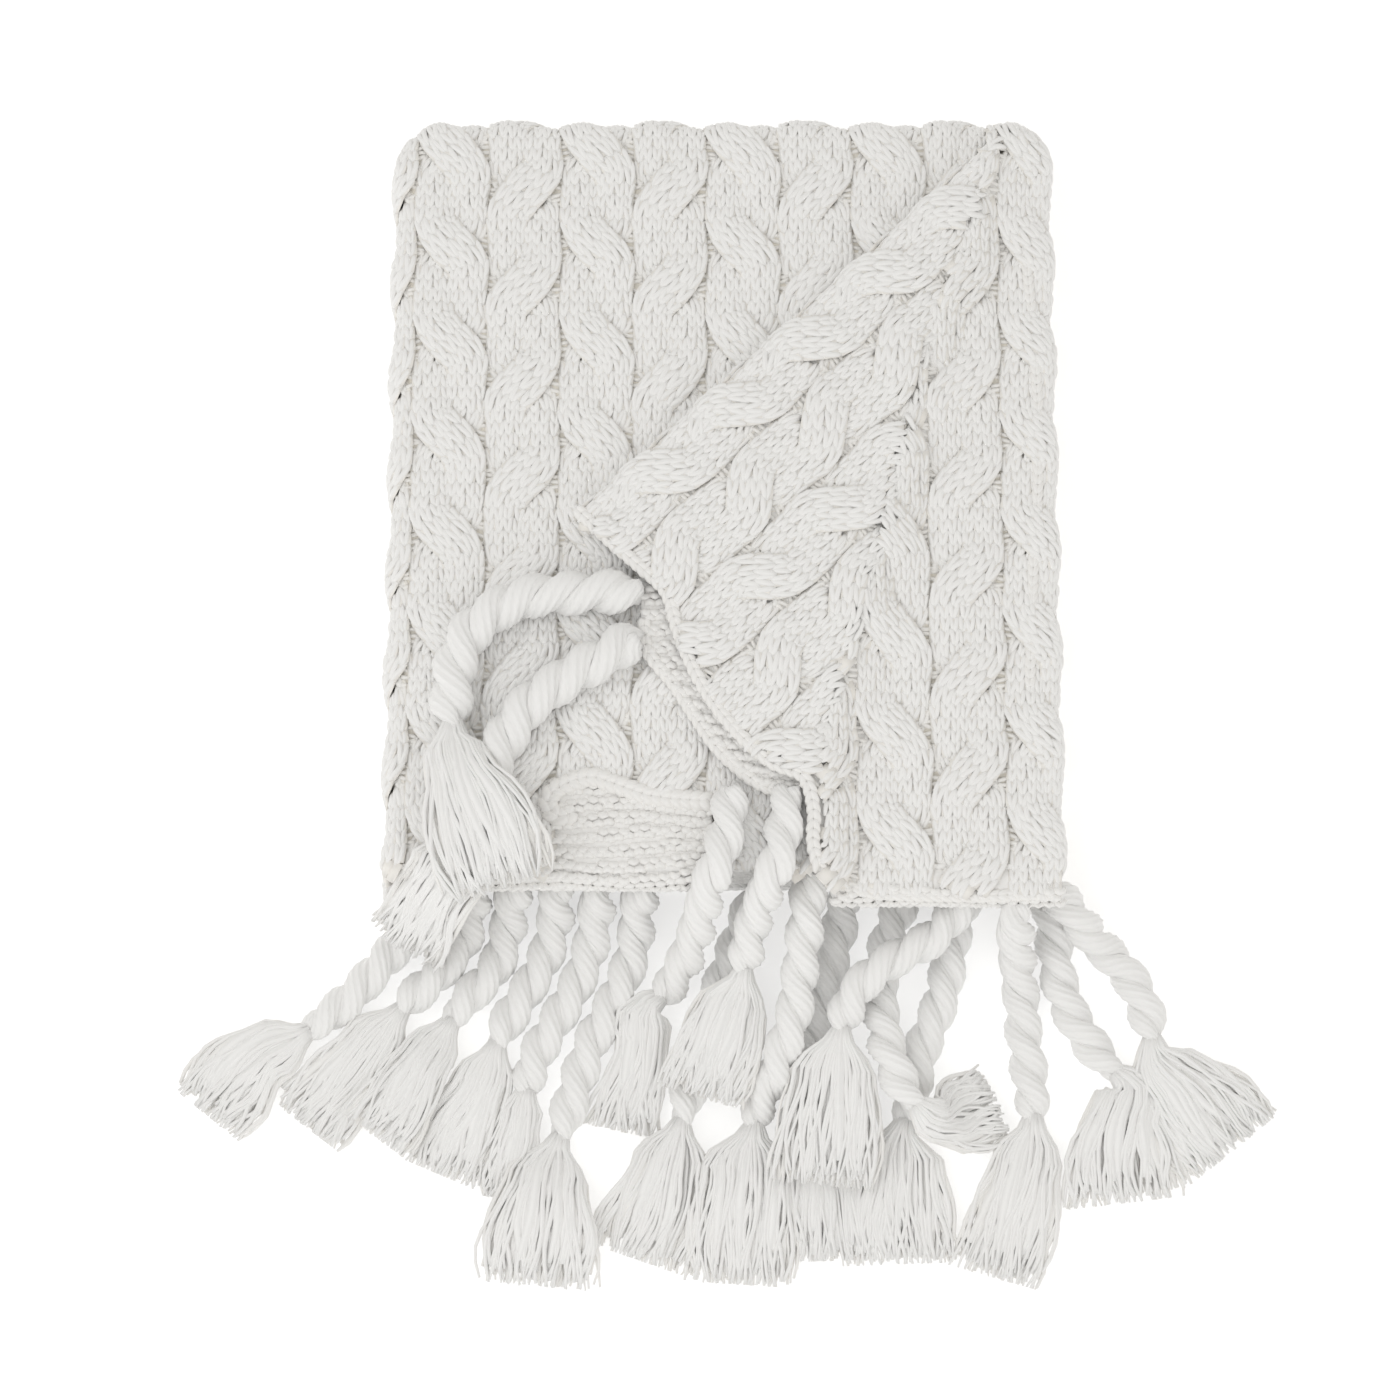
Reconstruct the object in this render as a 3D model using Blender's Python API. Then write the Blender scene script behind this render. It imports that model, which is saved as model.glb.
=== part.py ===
"""A cable-knit throw, folded in thirds both ways, with a twisted and tasselled rope fringe.

The knit is modelled as its three folded thirds, one on another, with the turned-back
corner as two layers on top. Hem bands, a selvedge and the rope fringe are added to them.
World: X across the folded throw, Y away from the fringe, Z up, floor at Z = 0.
"""
import math

import bmesh
import bpy
from mathutils import Vector

MM = 0.001

# Knit panel, laid flat, and how it is folded
THROW_WIDTH = 1.300
THROW_LENGTH = 1.520
FOLDS_ACROSS = 3
FOLDS_ALONG = 3
LAYER_THICKNESS = 0.0084        # one layer of cable knit
FOLD_CORNER = 0.030             # plan radius of the far corners
GAP = 0.0003                    # clearance between pieces that touch

# Where the folded throw lies on its layout plane
LEFT = -0.201
HEM_Y = -0.117

# Turned-back corner
CORNER_LAYER = 0.0088           # thickness of each of its two layers
CORNER_SIDE_IN = 0.1625         # side hem, from the left edge
CORNER_TIP_UP = 0.0510          # lower hem, from the front hem
CORNER_EDGE_ROUND = 0.0022

# Hem bands and selvedge
BAND_HEIGHT = 0.0172
LEFT_HEM_DEPTH = 0.0096
RIGHT_HEM_DEPTH = 0.0200
LEFT_HEM_SPAN = (0.061, 0.196)  # from the left edge
RIGHT_HEM_SPAN = (0.150, 0.004)  # from the right edge
SELVEDGE_WIDTH = 0.008
SELVEDGE_HEIGHT = 0.003

# Fringe
ROPE_RADIUS = 0.0120
TOP_ROPE_RADIUS = 0.0140        # the two ropes that lie on the turned-back corner's side
ROOT_TAPER = 0.35               # radius at the hem, as a share of the rope's
ROOT_STUB = 0.006               # straight start of each rope, square to its hem
ROPE_STEP = 0.019               # spacing of the points along a rope
TASSEL_THICKNESS = 0.0120
TASSEL_NECK = 0.0055            # half width where the yarn leaves the rope
# Axis of a rope that turns on the side it is lifted or swung to, from its root's centre
AXIS_SHIFT = {12: (0.0, 0.0, ROPE_RADIUS), 17: (0.0, 0.0, ROPE_RADIUS), 18: (0.006, 0.0, 0.0)}

FOLD_WIDTH = THROW_WIDTH / FOLDS_ACROSS
FOLD_LENGTH = THROW_LENGTH / FOLDS_ALONG
RIGHT = LEFT + FOLD_WIDTH
BACK_Y = HEM_Y + FOLD_LENGTH
THIRD_HEIGHT = FOLDS_ACROSS * LAYER_THICKNESS
TOP_Z = FOLDS_ALONG * THIRD_HEIGHT + (FOLDS_ALONG - 1) * GAP

IVORY = (0.86, 0.85, 0.82)
SHADED_IVORY = (0.80, 0.78, 0.74)
ROPE_IVORY = (0.88, 0.87, 0.84)

# One entry a rope: number, side its x is measured from, what its root is sewn to, radius,
# route and tassel. A route point is (x, y) in mm from that side and the front hem, then its
# height: a share of the stack's height, plus that many rope radii. The first one is the root.
# A tassel point is (x, y, share of the stack's height, mm above it, half width in mm).
FRINGE = [
    (1, "left", "corner_side", TOP_ROPE_RADIUS,
     [(162, 179, 1, 1), (139, 179, 1, 1), (115, 178, 1, 1), (92, 176, 1, 1), (70, 167, 1, 1),
      (54, 153, 1, 1), (45, 134, 1, 1), (42, 113, 1, 1), (43, 89, 1, 1)],
     [(43, 81, 1, 15, 6), (48, 60, 1, 30, 14), (56, 38, 1, 37, 26), (67, 9, 1, 36, 32),
      (76, -16, 1, 22, 27)]),
    (2, "left", "corner_side", TOP_ROPE_RADIUS,
     [(162, 147, 1, 1), (142, 137, 1, 1), (124, 128, 1, 1), (106, 116, 1, 1), (88, 101, 1, 1),
      (77, 83, 1, 1), (67, 61, 1, 1), (59, 37, 1, 1), (51, 20, 1, 1)],
     [(49, 12, 1, 11, 6), (40, -6, 1, 10, 17), (24, -24, 0.62, 10, 23), (10, -43, 0.25, 14, 25)]),
    (3, "left", "stack", ROPE_RADIUS,
     [(29, 0, 0.15, 1), (19, -17, 0.08, 1), (4, -38, 0, 1.03), (-11, -56, 0, 1.03),
      (-26, -73, 0, 1.03), (-44, -88, 0, 1.03), (-57, -97, 0, 1.03)],
     [(-63, -100, 0, 12, 6), (-82, -110, 0, 12, 18), (-101, -127, 0, 10, 25),
      (-118, -148, 0, 8, 23)]),
    (4, "left", "stack", ROPE_RADIUS,
     [(55, 0, 0.42, 1), (53, -18, 0.18, 1), (46, -38, 0.02, 1), (32, -56, 0, 1.03),
      (19, -68, 0, 1.03), (4, -84, 0, 1.03)],
     [(-1, -91, 0, 12, 6), (-16, -110, 0, 12, 17), (-33, -132, 0, 10, 22), (-52, -157, 0, 8, 23)]),
    (5, "left", "stack", ROPE_RADIUS,
     [(81, 0, 0.42, 1), (79, -18, 0.18, 1), (74, -36, 0.02, 1), (66, -56, 0, 1.03),
      (52, -71, 0, 1.03), (37, -92, 0, 1.03)],
     [(32, -99, 0, 12, 6), (19, -119, 0, 18, 16), (6, -142, 0, 22, 20), (-9, -163, 0, 22, 20)]),
    (6, "left", "stack", ROPE_RADIUS,
     [(108, 0, 0.42, 1), (108, -20, 0.18, 1), (103, -39, 0.02, 1), (94, -58, 0, 1.03),
      (84, -75, 0, 1.03), (74, -92, 0, 1.03), (68, -108, 0, 1.03)],
     [(66, -115, 0, 12, 6), (57, -138, 0, 12, 17), (45, -161, 0, 10, 22), (34, -187, 0, 8, 23)]),
    (7, "left", "stack", ROPE_RADIUS,
     [(135, 0, 0.42, 1), (134, -21, 0.2, 1), (130, -40, 0.06, 1), (122, -61, 0, 1.03),
      (112, -80, 0, 1.03), (102, -97, 0, 1.03), (93, -115, 0, 1.03), (88, -139, 0, 1.03)],
     [(86, -146, 0, 12, 6), (83, -165, 0, 12, 11), (80, -183, 0, 10, 13), (78, -202, 0, 8, 14)]),
    (8, "left", "stack", ROPE_RADIUS,
     [(163, 0, 0.42, 1), (161, -20, 0.18, 1), (158, -40, 0.02, 1), (151, -61, 0, 1.03),
      (141, -82, 0, 1.03), (130, -103, 0, 1.03), (122, -126, 0, 1.03), (115, -149, 0, 1.03),
      (110, -168, 0, 1.03)],
     [(107, -176, 0, 14, 6), (102, -201, 0, 22, 22), (99, -227, 0, 22, 30),
      (96, -258, 0, 14, 29)]),
    (9, "left", "corner_tip", ROPE_RADIUS,
     [(220, 0, 1, 1), (218, 24, 1, 1.05), (210, -3, 1, 1.2), (204, -20, 0.78, 1),
      (199, -35, 0.5, 1), (191, -52, 0.25, 1), (180, -68, 0.06, 1), (171, -77, 0, 1.4)],
     [(165, -81, 0, 17, 6), (163, -101, 0, 13, 13), (158, -126, 0, 9, 16),
      (151, -159, 0, 8, 20)]),
    (10, "left", "corner_tip", ROPE_RADIUS,
     [(256, 0, 1, 1), (254, 24, 1, 1.05), (248, -3, 1, 1.3), (241, -18, 0.8, 1),
      (235, -32, 0.58, 1), (231, -48, 0.45, 1), (228, -62, 0.33, 1)],
     [(226, -70, 0.3, 12, 6), (218, -91, 0.3, 11, 21), (208, -116, 0.3, 11, 24),
      (201, -140, 0.3, 11, 24)]),
    (11, "left", "stack", ROPE_RADIUS,
     [(241, 0, 0.12, 1), (232, -18, 0.03, 1), (223, -41, 0, 1.03), (214, -64, 0, 1.03),
      (205, -87, 0, 1.03), (198, -110, 0, 1.03), (193, -136, 0, 1.03), (188, -158, 0, 1.03)],
     [(186, -166, 0, 12, 6), (180, -190, 0, 12, 20), (172, -216, 0, 10, 25),
      (163, -242, 0, 8, 25)]),
    (12, "left", "stack", ROPE_RADIUS,
     [(271, 0, 0.62, 1), (269, -26, 0.58, 1), (267, -47, 0.5, 1), (264, -69, 0.4, 1),
      (261, -88, 0.35, 1), (255, -107, 0.3, 1), (247, -128, 0.18, 1), (238, -147, 0.05, 1),
      (235, -160, 0.01, 1)],
     [(234, -167, 0, 13, 6), (232, -194, 0, 14, 21), (229, -226, 0, 12, 25),
      (227, -257, 0, 8, 23)]),
    (13, "right", "stack", ROPE_RADIUS,
     [(-137, 0, 0.14, 1), (-140, -18, 0.03, 1), (-145, -41, 0, 1.03), (-151, -64, 0, 1.03),
      (-157, -87, 0, 1.03), (-160, -110, 0, 1.03), (-161, -130, 0, 1.03)],
     [(-160, -138, 0, 12, 6), (-157, -171, 0, 11, 18), (-153, -206, 0, 10, 21),
      (-152, -242, 0, 8, 21)]),
    (14, "right", "stack", ROPE_RADIUS,
     [(-62, 0, 0.43, 1), (-68, -20, 0.41, 1), (-80, -36, 0.39, 1), (-99, -47, 0.4, 1),
      (-117, -58, 0.42, 1), (-131, -71, 0.39, 1), (-139, -86, 0.33, 1), (-143, -101, 0.29, 1)],
     [(-144, -110, 0.3, 12, 6), (-147, -135, 0.3, 11, 20), (-150, -164, 0.3, 10, 25),
      (-153, -196, 0.3, 8, 25)]),
    (15, "right", "stack", ROPE_RADIUS,
     [(-98, 0, 0.1, 1), (-105, -19, 0.02, 1), (-112, -41, 0, 1.05), (-116, -66, 0, 1.1),
      (-115, -93, 0.17, 1), (-110, -117, 0.32, 1), (-102, -135, 0.35, 1), (-91, -149, 0.33, 1)],
     [(-82, -154, 0.3, 9, 6), (-70, -152, 0.15, 9, 16), (-56, -147, 0, 14, 18),
      (-41, -141, 0, 9, 18)]),
    (16, "right", "stack", ROPE_RADIUS,
     [(-59, 0, 0.04, 1), (-64, -18, 0, 1.03), (-69, -38, 0, 1.03), (-73, -61, 0, 1.03),
      (-79, -82, 0, 1.03), (-87, -101, 0, 1.03), (-93, -123, 0, 1.03), (-98, -142, 0, 1.03),
      (-102, -158, 0, 1.03)],
     [(-104, -166, 0, 12, 6), (-105, -187, 0, 12, 20), (-105, -216, 0, 10, 26),
      (-104, -244, 0, 8, 26)]),
    (17, "right", "right_hem", ROPE_RADIUS,
     [(-31, 0, 0.7, 1), (-29, -39, 0.42, 1), (-26, -55, 0.14, 1), (-24, -74, 0, 1.03),
      (-23, -97, 0, 1.03), (-20, -121, 0, 1.03), (-18, -144, 0, 1.03), (-18, -155, 0, 1.03)],
     [(-19, -163, 0, 11, 6), (-26, -194, 0, 12, 20), (-35, -225, 0, 10, 25),
      (-43, -253, 0, 8, 23)]),
    (18, "right", "stack", ROPE_RADIUS,
     [(-7, 0, 0.42, 1), (5, -17, 0.36, 1), (18, -31, 0.2, 1), (34, -45, 0.02, 1),
      (48, -62, 0, 1.03), (56, -80, 0, 1.03), (61, -104, 0, 1.03)],
     [(62, -114, 0, 12, 6), (79, -134, 0, 12, 21), (95, -153, 0, 10, 27), (110, -172, 0, 8, 27)]),
    (19, "right", "stack", ROPE_RADIUS,
     [(-5, 0, 0.01, 1), (-4, -20, 0, 1.03), (-2, -41, 0, 1.03), (1, -63, 0, 1.03),
      (8, -83, 0, 1.03), (18, -100, 0, 1.03), (29, -114, 0, 1.03), (40, -125, 0, 1.03)],
     [(47, -131, 0, 11, 6), (41, -154, 0, 12, 18), (38, -177, 0, 10, 25), (41, -205, 0, 8, 27)]),
]


def clear_scene():
    for ob in list(bpy.data.objects):
        bpy.data.objects.remove(ob, do_unlink=True)


def yarn(name, colour):
    material = bpy.data.materials.new(name)
    material.use_nodes = True
    shader = material.node_tree.nodes["Principled BSDF"]
    shader.inputs["Base Color"].default_value = (*colour, 1.0)
    shader.inputs["Roughness"].default_value = 0.9
    shader.inputs["Metallic"].default_value = 0.0
    return material


def empty(name, location, parent=None):
    ob = bpy.data.objects.new(name, None)
    bpy.context.scene.collection.objects.link(ob)
    ob.location = location
    ob.parent = parent
    return ob


def finish_piece(name, data, parent, colour):
    data.materials.append(yarn(name, colour))
    ob = bpy.data.objects.new(name, data)
    bpy.context.scene.collection.objects.link(ob)
    ob.parent = parent
    return ob


def loft(name, rings, parent, colour):
    """Close a stack of equal rings of points into one solid."""
    bm = bmesh.new()
    loops = [[bm.verts.new(point) for point in ring] for ring in rings]
    count = len(rings[0])
    for low, high in zip(loops, loops[1:]):
        for i in range(count):
            j = (i + 1) % count
            bm.faces.new((low[i], low[j], high[j], high[i]))
    bm.faces.new(list(reversed(loops[0])))
    bm.faces.new(loops[-1])
    bmesh.ops.recalc_face_normals(bm, faces=bm.faces)
    mesh = bpy.data.meshes.new(name)
    bm.to_mesh(mesh)
    bm.free()
    mesh.shade_smooth()
    mesh.set_sharp_from_angle(angle=math.radians(50))
    return finish_piece(name, mesh, parent, colour)


def fold_outline(inset, z, corner_steps=4):
    """Plan outline of a folded third: straight at the front hem, round at the far corners."""
    x0, x1 = LEFT + inset, RIGHT - inset
    y1 = BACK_Y - inset
    radius = FOLD_CORNER
    points = [(x0, HEM_Y, z), (x1, HEM_Y, z)]
    for centre_x, start in ((x1 - radius, 0.0), (x0 + radius, math.pi / 2)):
        for k in range(corner_steps + 1):
            angle = start + math.pi / 2 * k / corner_steps
            points.append((centre_x + radius * math.cos(angle),
                           y1 - radius + radius * math.sin(angle), z))
    return points


def folded_third(name, bottom, parent):
    """A third of the throw's length, three layers deep, with round folds at its sides."""
    half = THIRD_HEIGHT / 2
    rings = []
    for degrees in (-90, -60, -25, 25, 60, 90):
        angle = math.radians(degrees)
        inset = half * 0.9 * (1 - math.cos(angle))
        rings.append(fold_outline(inset, bottom + half + half * math.sin(angle)))
    return loft(name, rings, parent, IVORY)


def plate(name, outline, bottom, height, parent, colour, round_edge=0.0):
    """A layer of even height over a plan outline, which runs anticlockwise."""
    rings = [[(x, y, z) for x, y in outline] for z in (bottom, bottom + height)]
    ob = loft(name, rings, parent, colour)
    if round_edge:
        bevel = ob.modifiers.new("soft edge", "BEVEL")
        bevel.width = round_edge
        bevel.segments = 1
        bevel.limit_method = "ANGLE"
        bevel.angle_limit = math.radians(60)
    return ob


def turned_corner(parent):
    """The corner folded back on the top third: a wider layer below, the pleated one above."""
    side_x = LEFT + CORNER_SIDE_IN
    tip_y = HEM_Y + CORNER_TIP_UP
    ridge = [(0.084, tip_y + 0.043), (0.109, 0.056), (0.133, 0.156), (0.157, 0.258), (0.181, 0.318),
             (0.197, 0.376)]
    fold_start = (-0.080, 0.117)
    lower = [fold_start, (side_x, 0.076), (side_x, 0.018), (0.000, tip_y + 0.030),
             (0.007, tip_y), (0.074, tip_y)] + ridge
    upper = [fold_start, (-0.036, 0.076), (-0.022, 0.062), (0.000, 0.003),
             (0.045, tip_y + 0.012), (0.075, tip_y + 0.004)] + ridge
    low = TOP_Z + GAP
    plate("turned_corner_lower_layer", lower, low, CORNER_LAYER, parent, SHADED_IVORY,
          CORNER_EDGE_ROUND)
    plate("turned_corner_upper_layer", upper, low + CORNER_LAYER + GAP, CORNER_LAYER, parent,
          IVORY, CORNER_EDGE_ROUND)


def hem_band(name, start, end, depth, parent):
    """A rolled band along the front of the top third, under its upper edge."""
    low = TOP_Z - GAP - BAND_HEIGHT
    front, back = HEM_Y - GAP - depth, HEM_Y - GAP
    outline = [(start, front), (end, front), (end, back), (start, back)]
    return plate(name, outline, low, BAND_HEIGHT, parent, SHADED_IVORY, 0.0022)


def selvedge(parent):
    """The chained side edge of the top layer, near the right fold."""
    centre = [(-0.016, 0.204), (-0.012, 0.262), (-0.012, 0.330), (-0.016, 0.395), (-0.018, 0.430)]
    half = SELVEDGE_WIDTH / 2
    outline = [(RIGHT + x + half, HEM_Y + y) for x, y in centre]
    outline += [(RIGHT + x - half, HEM_Y + y) for x, y in reversed(centre)]
    return plate("right_selvedge", outline, TOP_Z + GAP, SELVEDGE_HEIGHT, parent, SHADED_IVORY)


def smooth(points, count):
    """Evenly read points of a Catmull-Rom curve through tuples of any length."""
    times = [0.0]
    for a, b in zip(points, points[1:]):
        times.append(times[-1] + math.sqrt(math.dist(a[:3], b[:3])))
    last = len(points) - 1

    def slope(i):
        a, b = max(i - 1, 0), min(i + 1, last)
        return [(q - p) / (times[b] - times[a]) for p, q in zip(points[a], points[b])]

    result = []
    for k in range(count):
        t = times[-1] * k / (count - 1)
        i = max(n for n in range(last) if times[n] <= t + 1e-12)
        h = times[i + 1] - times[i]
        u = (t - times[i]) / h
        weights = (2 * u ** 3 - 3 * u ** 2 + 1, (u ** 3 - 2 * u ** 2 + u) * h,
                   3 * u ** 2 - 2 * u ** 3, (u ** 3 - u ** 2) * h)
        terms = (points[i], slope(i), points[i + 1], slope(i + 1))
        result.append(tuple(sum(w * term[axis] for w, term in zip(weights, terms))
                            for axis in range(len(points[0]))))
    return result


def root_of(x, y, seat):
    """Seat a rope's root on its hem, and say which way it leaves."""
    if seat == "corner_side":
        return (LEFT + CORNER_SIDE_IN - GAP, y), (-1.0, 0.0)
    seats = {"stack": HEM_Y, "right_hem": HEM_Y - RIGHT_HEM_DEPTH - GAP,
             "corner_tip": HEM_Y + CORNER_TIP_UP}
    return (x, seats[seat] - GAP), (0.0, -1.0)


def route_points(side, seat, radius, route):
    """Turn a rope's route into points in metres, starting square to its hem."""
    side_x = LEFT if side == "left" else RIGHT
    points = []
    for x, y, share, radii in route:
        height = share * (TOP_Z + GAP) + radii * radius
        points.append((side_x + x * MM, HEM_Y + y * MM, height))
    (x, y), (out_x, out_y) = root_of(points[0][0], points[0][1], seat)
    z = points[0][2]
    stub = (x + out_x * ROOT_STUB, y + out_y * ROOT_STUB, z)
    return [(x, y, z), stub] + points[1:]


def rope(name, points, radius, origin, parent):
    length = sum(math.dist(a, b) for a, b in zip(points, points[1:]))
    path = points[:2] + smooth(points[1:], max(5, round(length / ROPE_STEP)))[1:]
    data = bpy.data.curves.new(name, "CURVE")
    data.dimensions = "3D"
    data.bevel_depth = radius
    data.bevel_resolution = 2
    data.use_fill_caps = True
    spline = data.splines.new("POLY")
    spline.points.add(len(path) - 1)
    for i, (point, place) in enumerate(zip(spline.points, path)):
        point.co = (*(Vector(place) - origin), 1.0)
        point.radius = (ROOT_TAPER, 0.8)[i] if i < 2 else 1.0
    return finish_piece(name, data, parent, ROPE_IVORY), path


def tassel(name, path, side, stations, origin, parent):
    """A flattened fan of cut yarn that opens out from the end of its rope."""
    end, before = Vector(path[-1]), Vector(path[-2])
    start = end + (end - before).normalized() * GAP
    side_x = LEFT if side == "left" else RIGHT
    centres = [(*start, TASSEL_NECK * 0.8)]
    for x, y, share, above, half_width in stations:
        z = share * (TOP_Z + GAP) + above * MM
        centres.append((side_x + x * MM, HEM_Y + y * MM, z, half_width * MM))
    centres = smooth(centres, 8)
    rings = []
    for i, (*place, half_width) in enumerate(centres):
        ahead = Vector(centres[min(i + 1, 7)][:3]) - Vector(centres[max(i - 1, 0)][:3])
        if i == 0:
            ahead = end - before
        across = ahead.cross(Vector((0, 0, 1))).normalized()
        upward = across.cross(ahead).normalized()
        half_height = min(TASSEL_THICKNESS / 2, max(half_width, TASSEL_NECK * 0.8))
        ring = []
        for k in range(10):
            angle = 2 * math.pi * k / 10
            offset = across * half_width * math.cos(angle) + upward * half_height * math.sin(angle)
            ring.append(Vector(place) + offset - origin)
        rings.append(ring)
    return loft(name, rings, parent, ROPE_IVORY)


def fringe(parent):
    for number, side, seat, radius, route, stations in FRINGE:
        points = route_points(side, seat, radius, route)
        origin = Vector(points[0]) + Vector(AXIS_SHIFT.get(number, (0.0, 0.0, 0.0)))
        hinge = empty(f"fringe_hinge_{number:02d}", origin, parent)
        _, path = rope(f"fringe_rope_{number:02d}", points, radius, origin, hinge)
        tassel(f"fringe_tassel_{number:02d}", path, side, stations, origin, hinge)


def stand_on_origin(frame):
    """Move the frame so that the middle of the whole footprint is at X = Y = 0."""
    bpy.context.view_layer.update()
    depsgraph = bpy.context.evaluated_depsgraph_get()
    low, high = Vector((9, 9, 9)), Vector((-9, -9, -9))
    for ob in bpy.data.objects:
        if ob.type == "EMPTY":
            continue
        shaped = ob.evaluated_get(depsgraph)
        mesh = shaped.to_mesh()
        for vertex in mesh.vertices:
            place = shaped.matrix_world @ vertex.co
            low = Vector(map(min, low, place))
            high = Vector(map(max, high, place))
        shaped.to_mesh_clear()
    middle = (low + high) / 2
    frame.location = (-middle.x, -middle.y, -low.z)


def build():
    clear_scene()
    frame = empty("throw_frame", (0, 0, 0))
    for level, name in enumerate(("bottom_third", "middle_third", "top_third")):
        folded_third(name, level * (THIRD_HEIGHT + GAP), frame)
    turned_corner(frame)
    hem_band("left_hem_band", LEFT + LEFT_HEM_SPAN[0], LEFT + LEFT_HEM_SPAN[1], LEFT_HEM_DEPTH,
             frame)
    hem_band("right_hem_band", RIGHT - RIGHT_HEM_SPAN[0], RIGHT - RIGHT_HEM_SPAN[1],
             RIGHT_HEM_DEPTH, frame)
    selvedge(frame)
    fringe(frame)
    stand_on_origin(frame)


build()
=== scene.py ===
"""A cable-knit throw, folded, with one corner turned back and a fringe of twisted ropes.

The cloth is one folded panel. Its face is knitted stitch by stitch over that panel: every
stitch is two legs of yarn, laid along the strands of the cables, and the cables are then
carried round the folds and over the turned-back corner. Each fringe rope is two plies of
ribbed yarn, and each tassel is its loose cut yarns.
"""
import math

import bpy
import numpy as np
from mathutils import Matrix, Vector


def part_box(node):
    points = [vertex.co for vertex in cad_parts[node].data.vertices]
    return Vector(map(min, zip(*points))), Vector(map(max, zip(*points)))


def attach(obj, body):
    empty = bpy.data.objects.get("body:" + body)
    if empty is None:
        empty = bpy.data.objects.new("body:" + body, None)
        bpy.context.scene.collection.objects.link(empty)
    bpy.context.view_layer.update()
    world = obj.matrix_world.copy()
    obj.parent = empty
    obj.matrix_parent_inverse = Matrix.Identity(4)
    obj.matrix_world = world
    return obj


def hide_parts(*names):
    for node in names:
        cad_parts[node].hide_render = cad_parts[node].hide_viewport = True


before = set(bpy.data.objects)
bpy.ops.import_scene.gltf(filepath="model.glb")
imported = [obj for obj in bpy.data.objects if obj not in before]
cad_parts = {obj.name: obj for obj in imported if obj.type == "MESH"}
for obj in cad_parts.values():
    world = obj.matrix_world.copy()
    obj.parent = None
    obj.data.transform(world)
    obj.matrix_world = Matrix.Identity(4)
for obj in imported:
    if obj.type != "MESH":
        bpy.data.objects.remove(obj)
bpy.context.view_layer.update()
chance = np.random.default_rng(11)

MM = 0.001

# The folded body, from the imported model
top_low, top_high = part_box("top_third")
SIDE_INSET = 0.00106            # how far the fullest part of a fold is inside its nominal side
LEFT = top_low[0] - SIDE_INSET
RIGHT = top_high[0] + SIDE_INSET
BACK_Y = top_high[1] + SIDE_INSET
HEM_Y = top_low[1]
TOP_Z = top_high[2]
THIRD = top_high[2] - top_low[2]
GAP = 0.0003                    # between pieces that touch
X0 = LEFT + 0.201               # where the layout's own origin lies
Y0 = HEM_Y + 0.117
FOLD_CORNER = 0.030

# The knit
COLUMN = (RIGHT - LEFT) / 9     # one cable across
FIRST_COLUMN = LEFT + 0.0126    # left edge of the first whole cable on the face
ROW = 0.00825                   # one row of stitches
CROSSING = 8 * ROW              # from one crossing of a cable to the next
WALE = 0.0060                   # one column of stitches
LEG = 0.00172                   # radius of one leg of a stitch
REST = -0.0022                  # the stitches' middle height over the nominal face

# The turned-back corner
CORNER_RISE = 0.0176
CORNER_SIDE_IN = 0.1625         # its side hem, from the left side
CORNER_TIP_UP = 0.0510          # its lower hem, from the front hem
CORNER_START = np.array([X0 - 0.080, Y0 + 0.117])
CORNER_END = np.array([X0 + 0.197, Y0 + 0.376])
UPPER_HEM = [(-0.080, 0.117), (-0.055, 0.093), (-0.036, 0.076), (-0.022, 0.062), (-0.014, 0.036),
             (0.000, 0.003), (0.020, -0.026), (0.045, -0.050), (0.066, -0.060), (0.072, -0.080),
             (0.072, -0.104), (0.078, -0.124)]
LOWER_HEM = [(-0.036, 0.046), (-0.034, 0.026), (-0.016, 0.002), (-0.002, -0.020), (0.012, -0.040),
             (0.034, -0.060), (0.056, -0.070)]
RIDGE = [(0.080, -0.138), (0.082, -0.062), (0.084, -0.023), (0.109, 0.056), (0.133, 0.156),
         (0.157, 0.258), (0.181, 0.318), (0.197, 0.376)]

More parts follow.
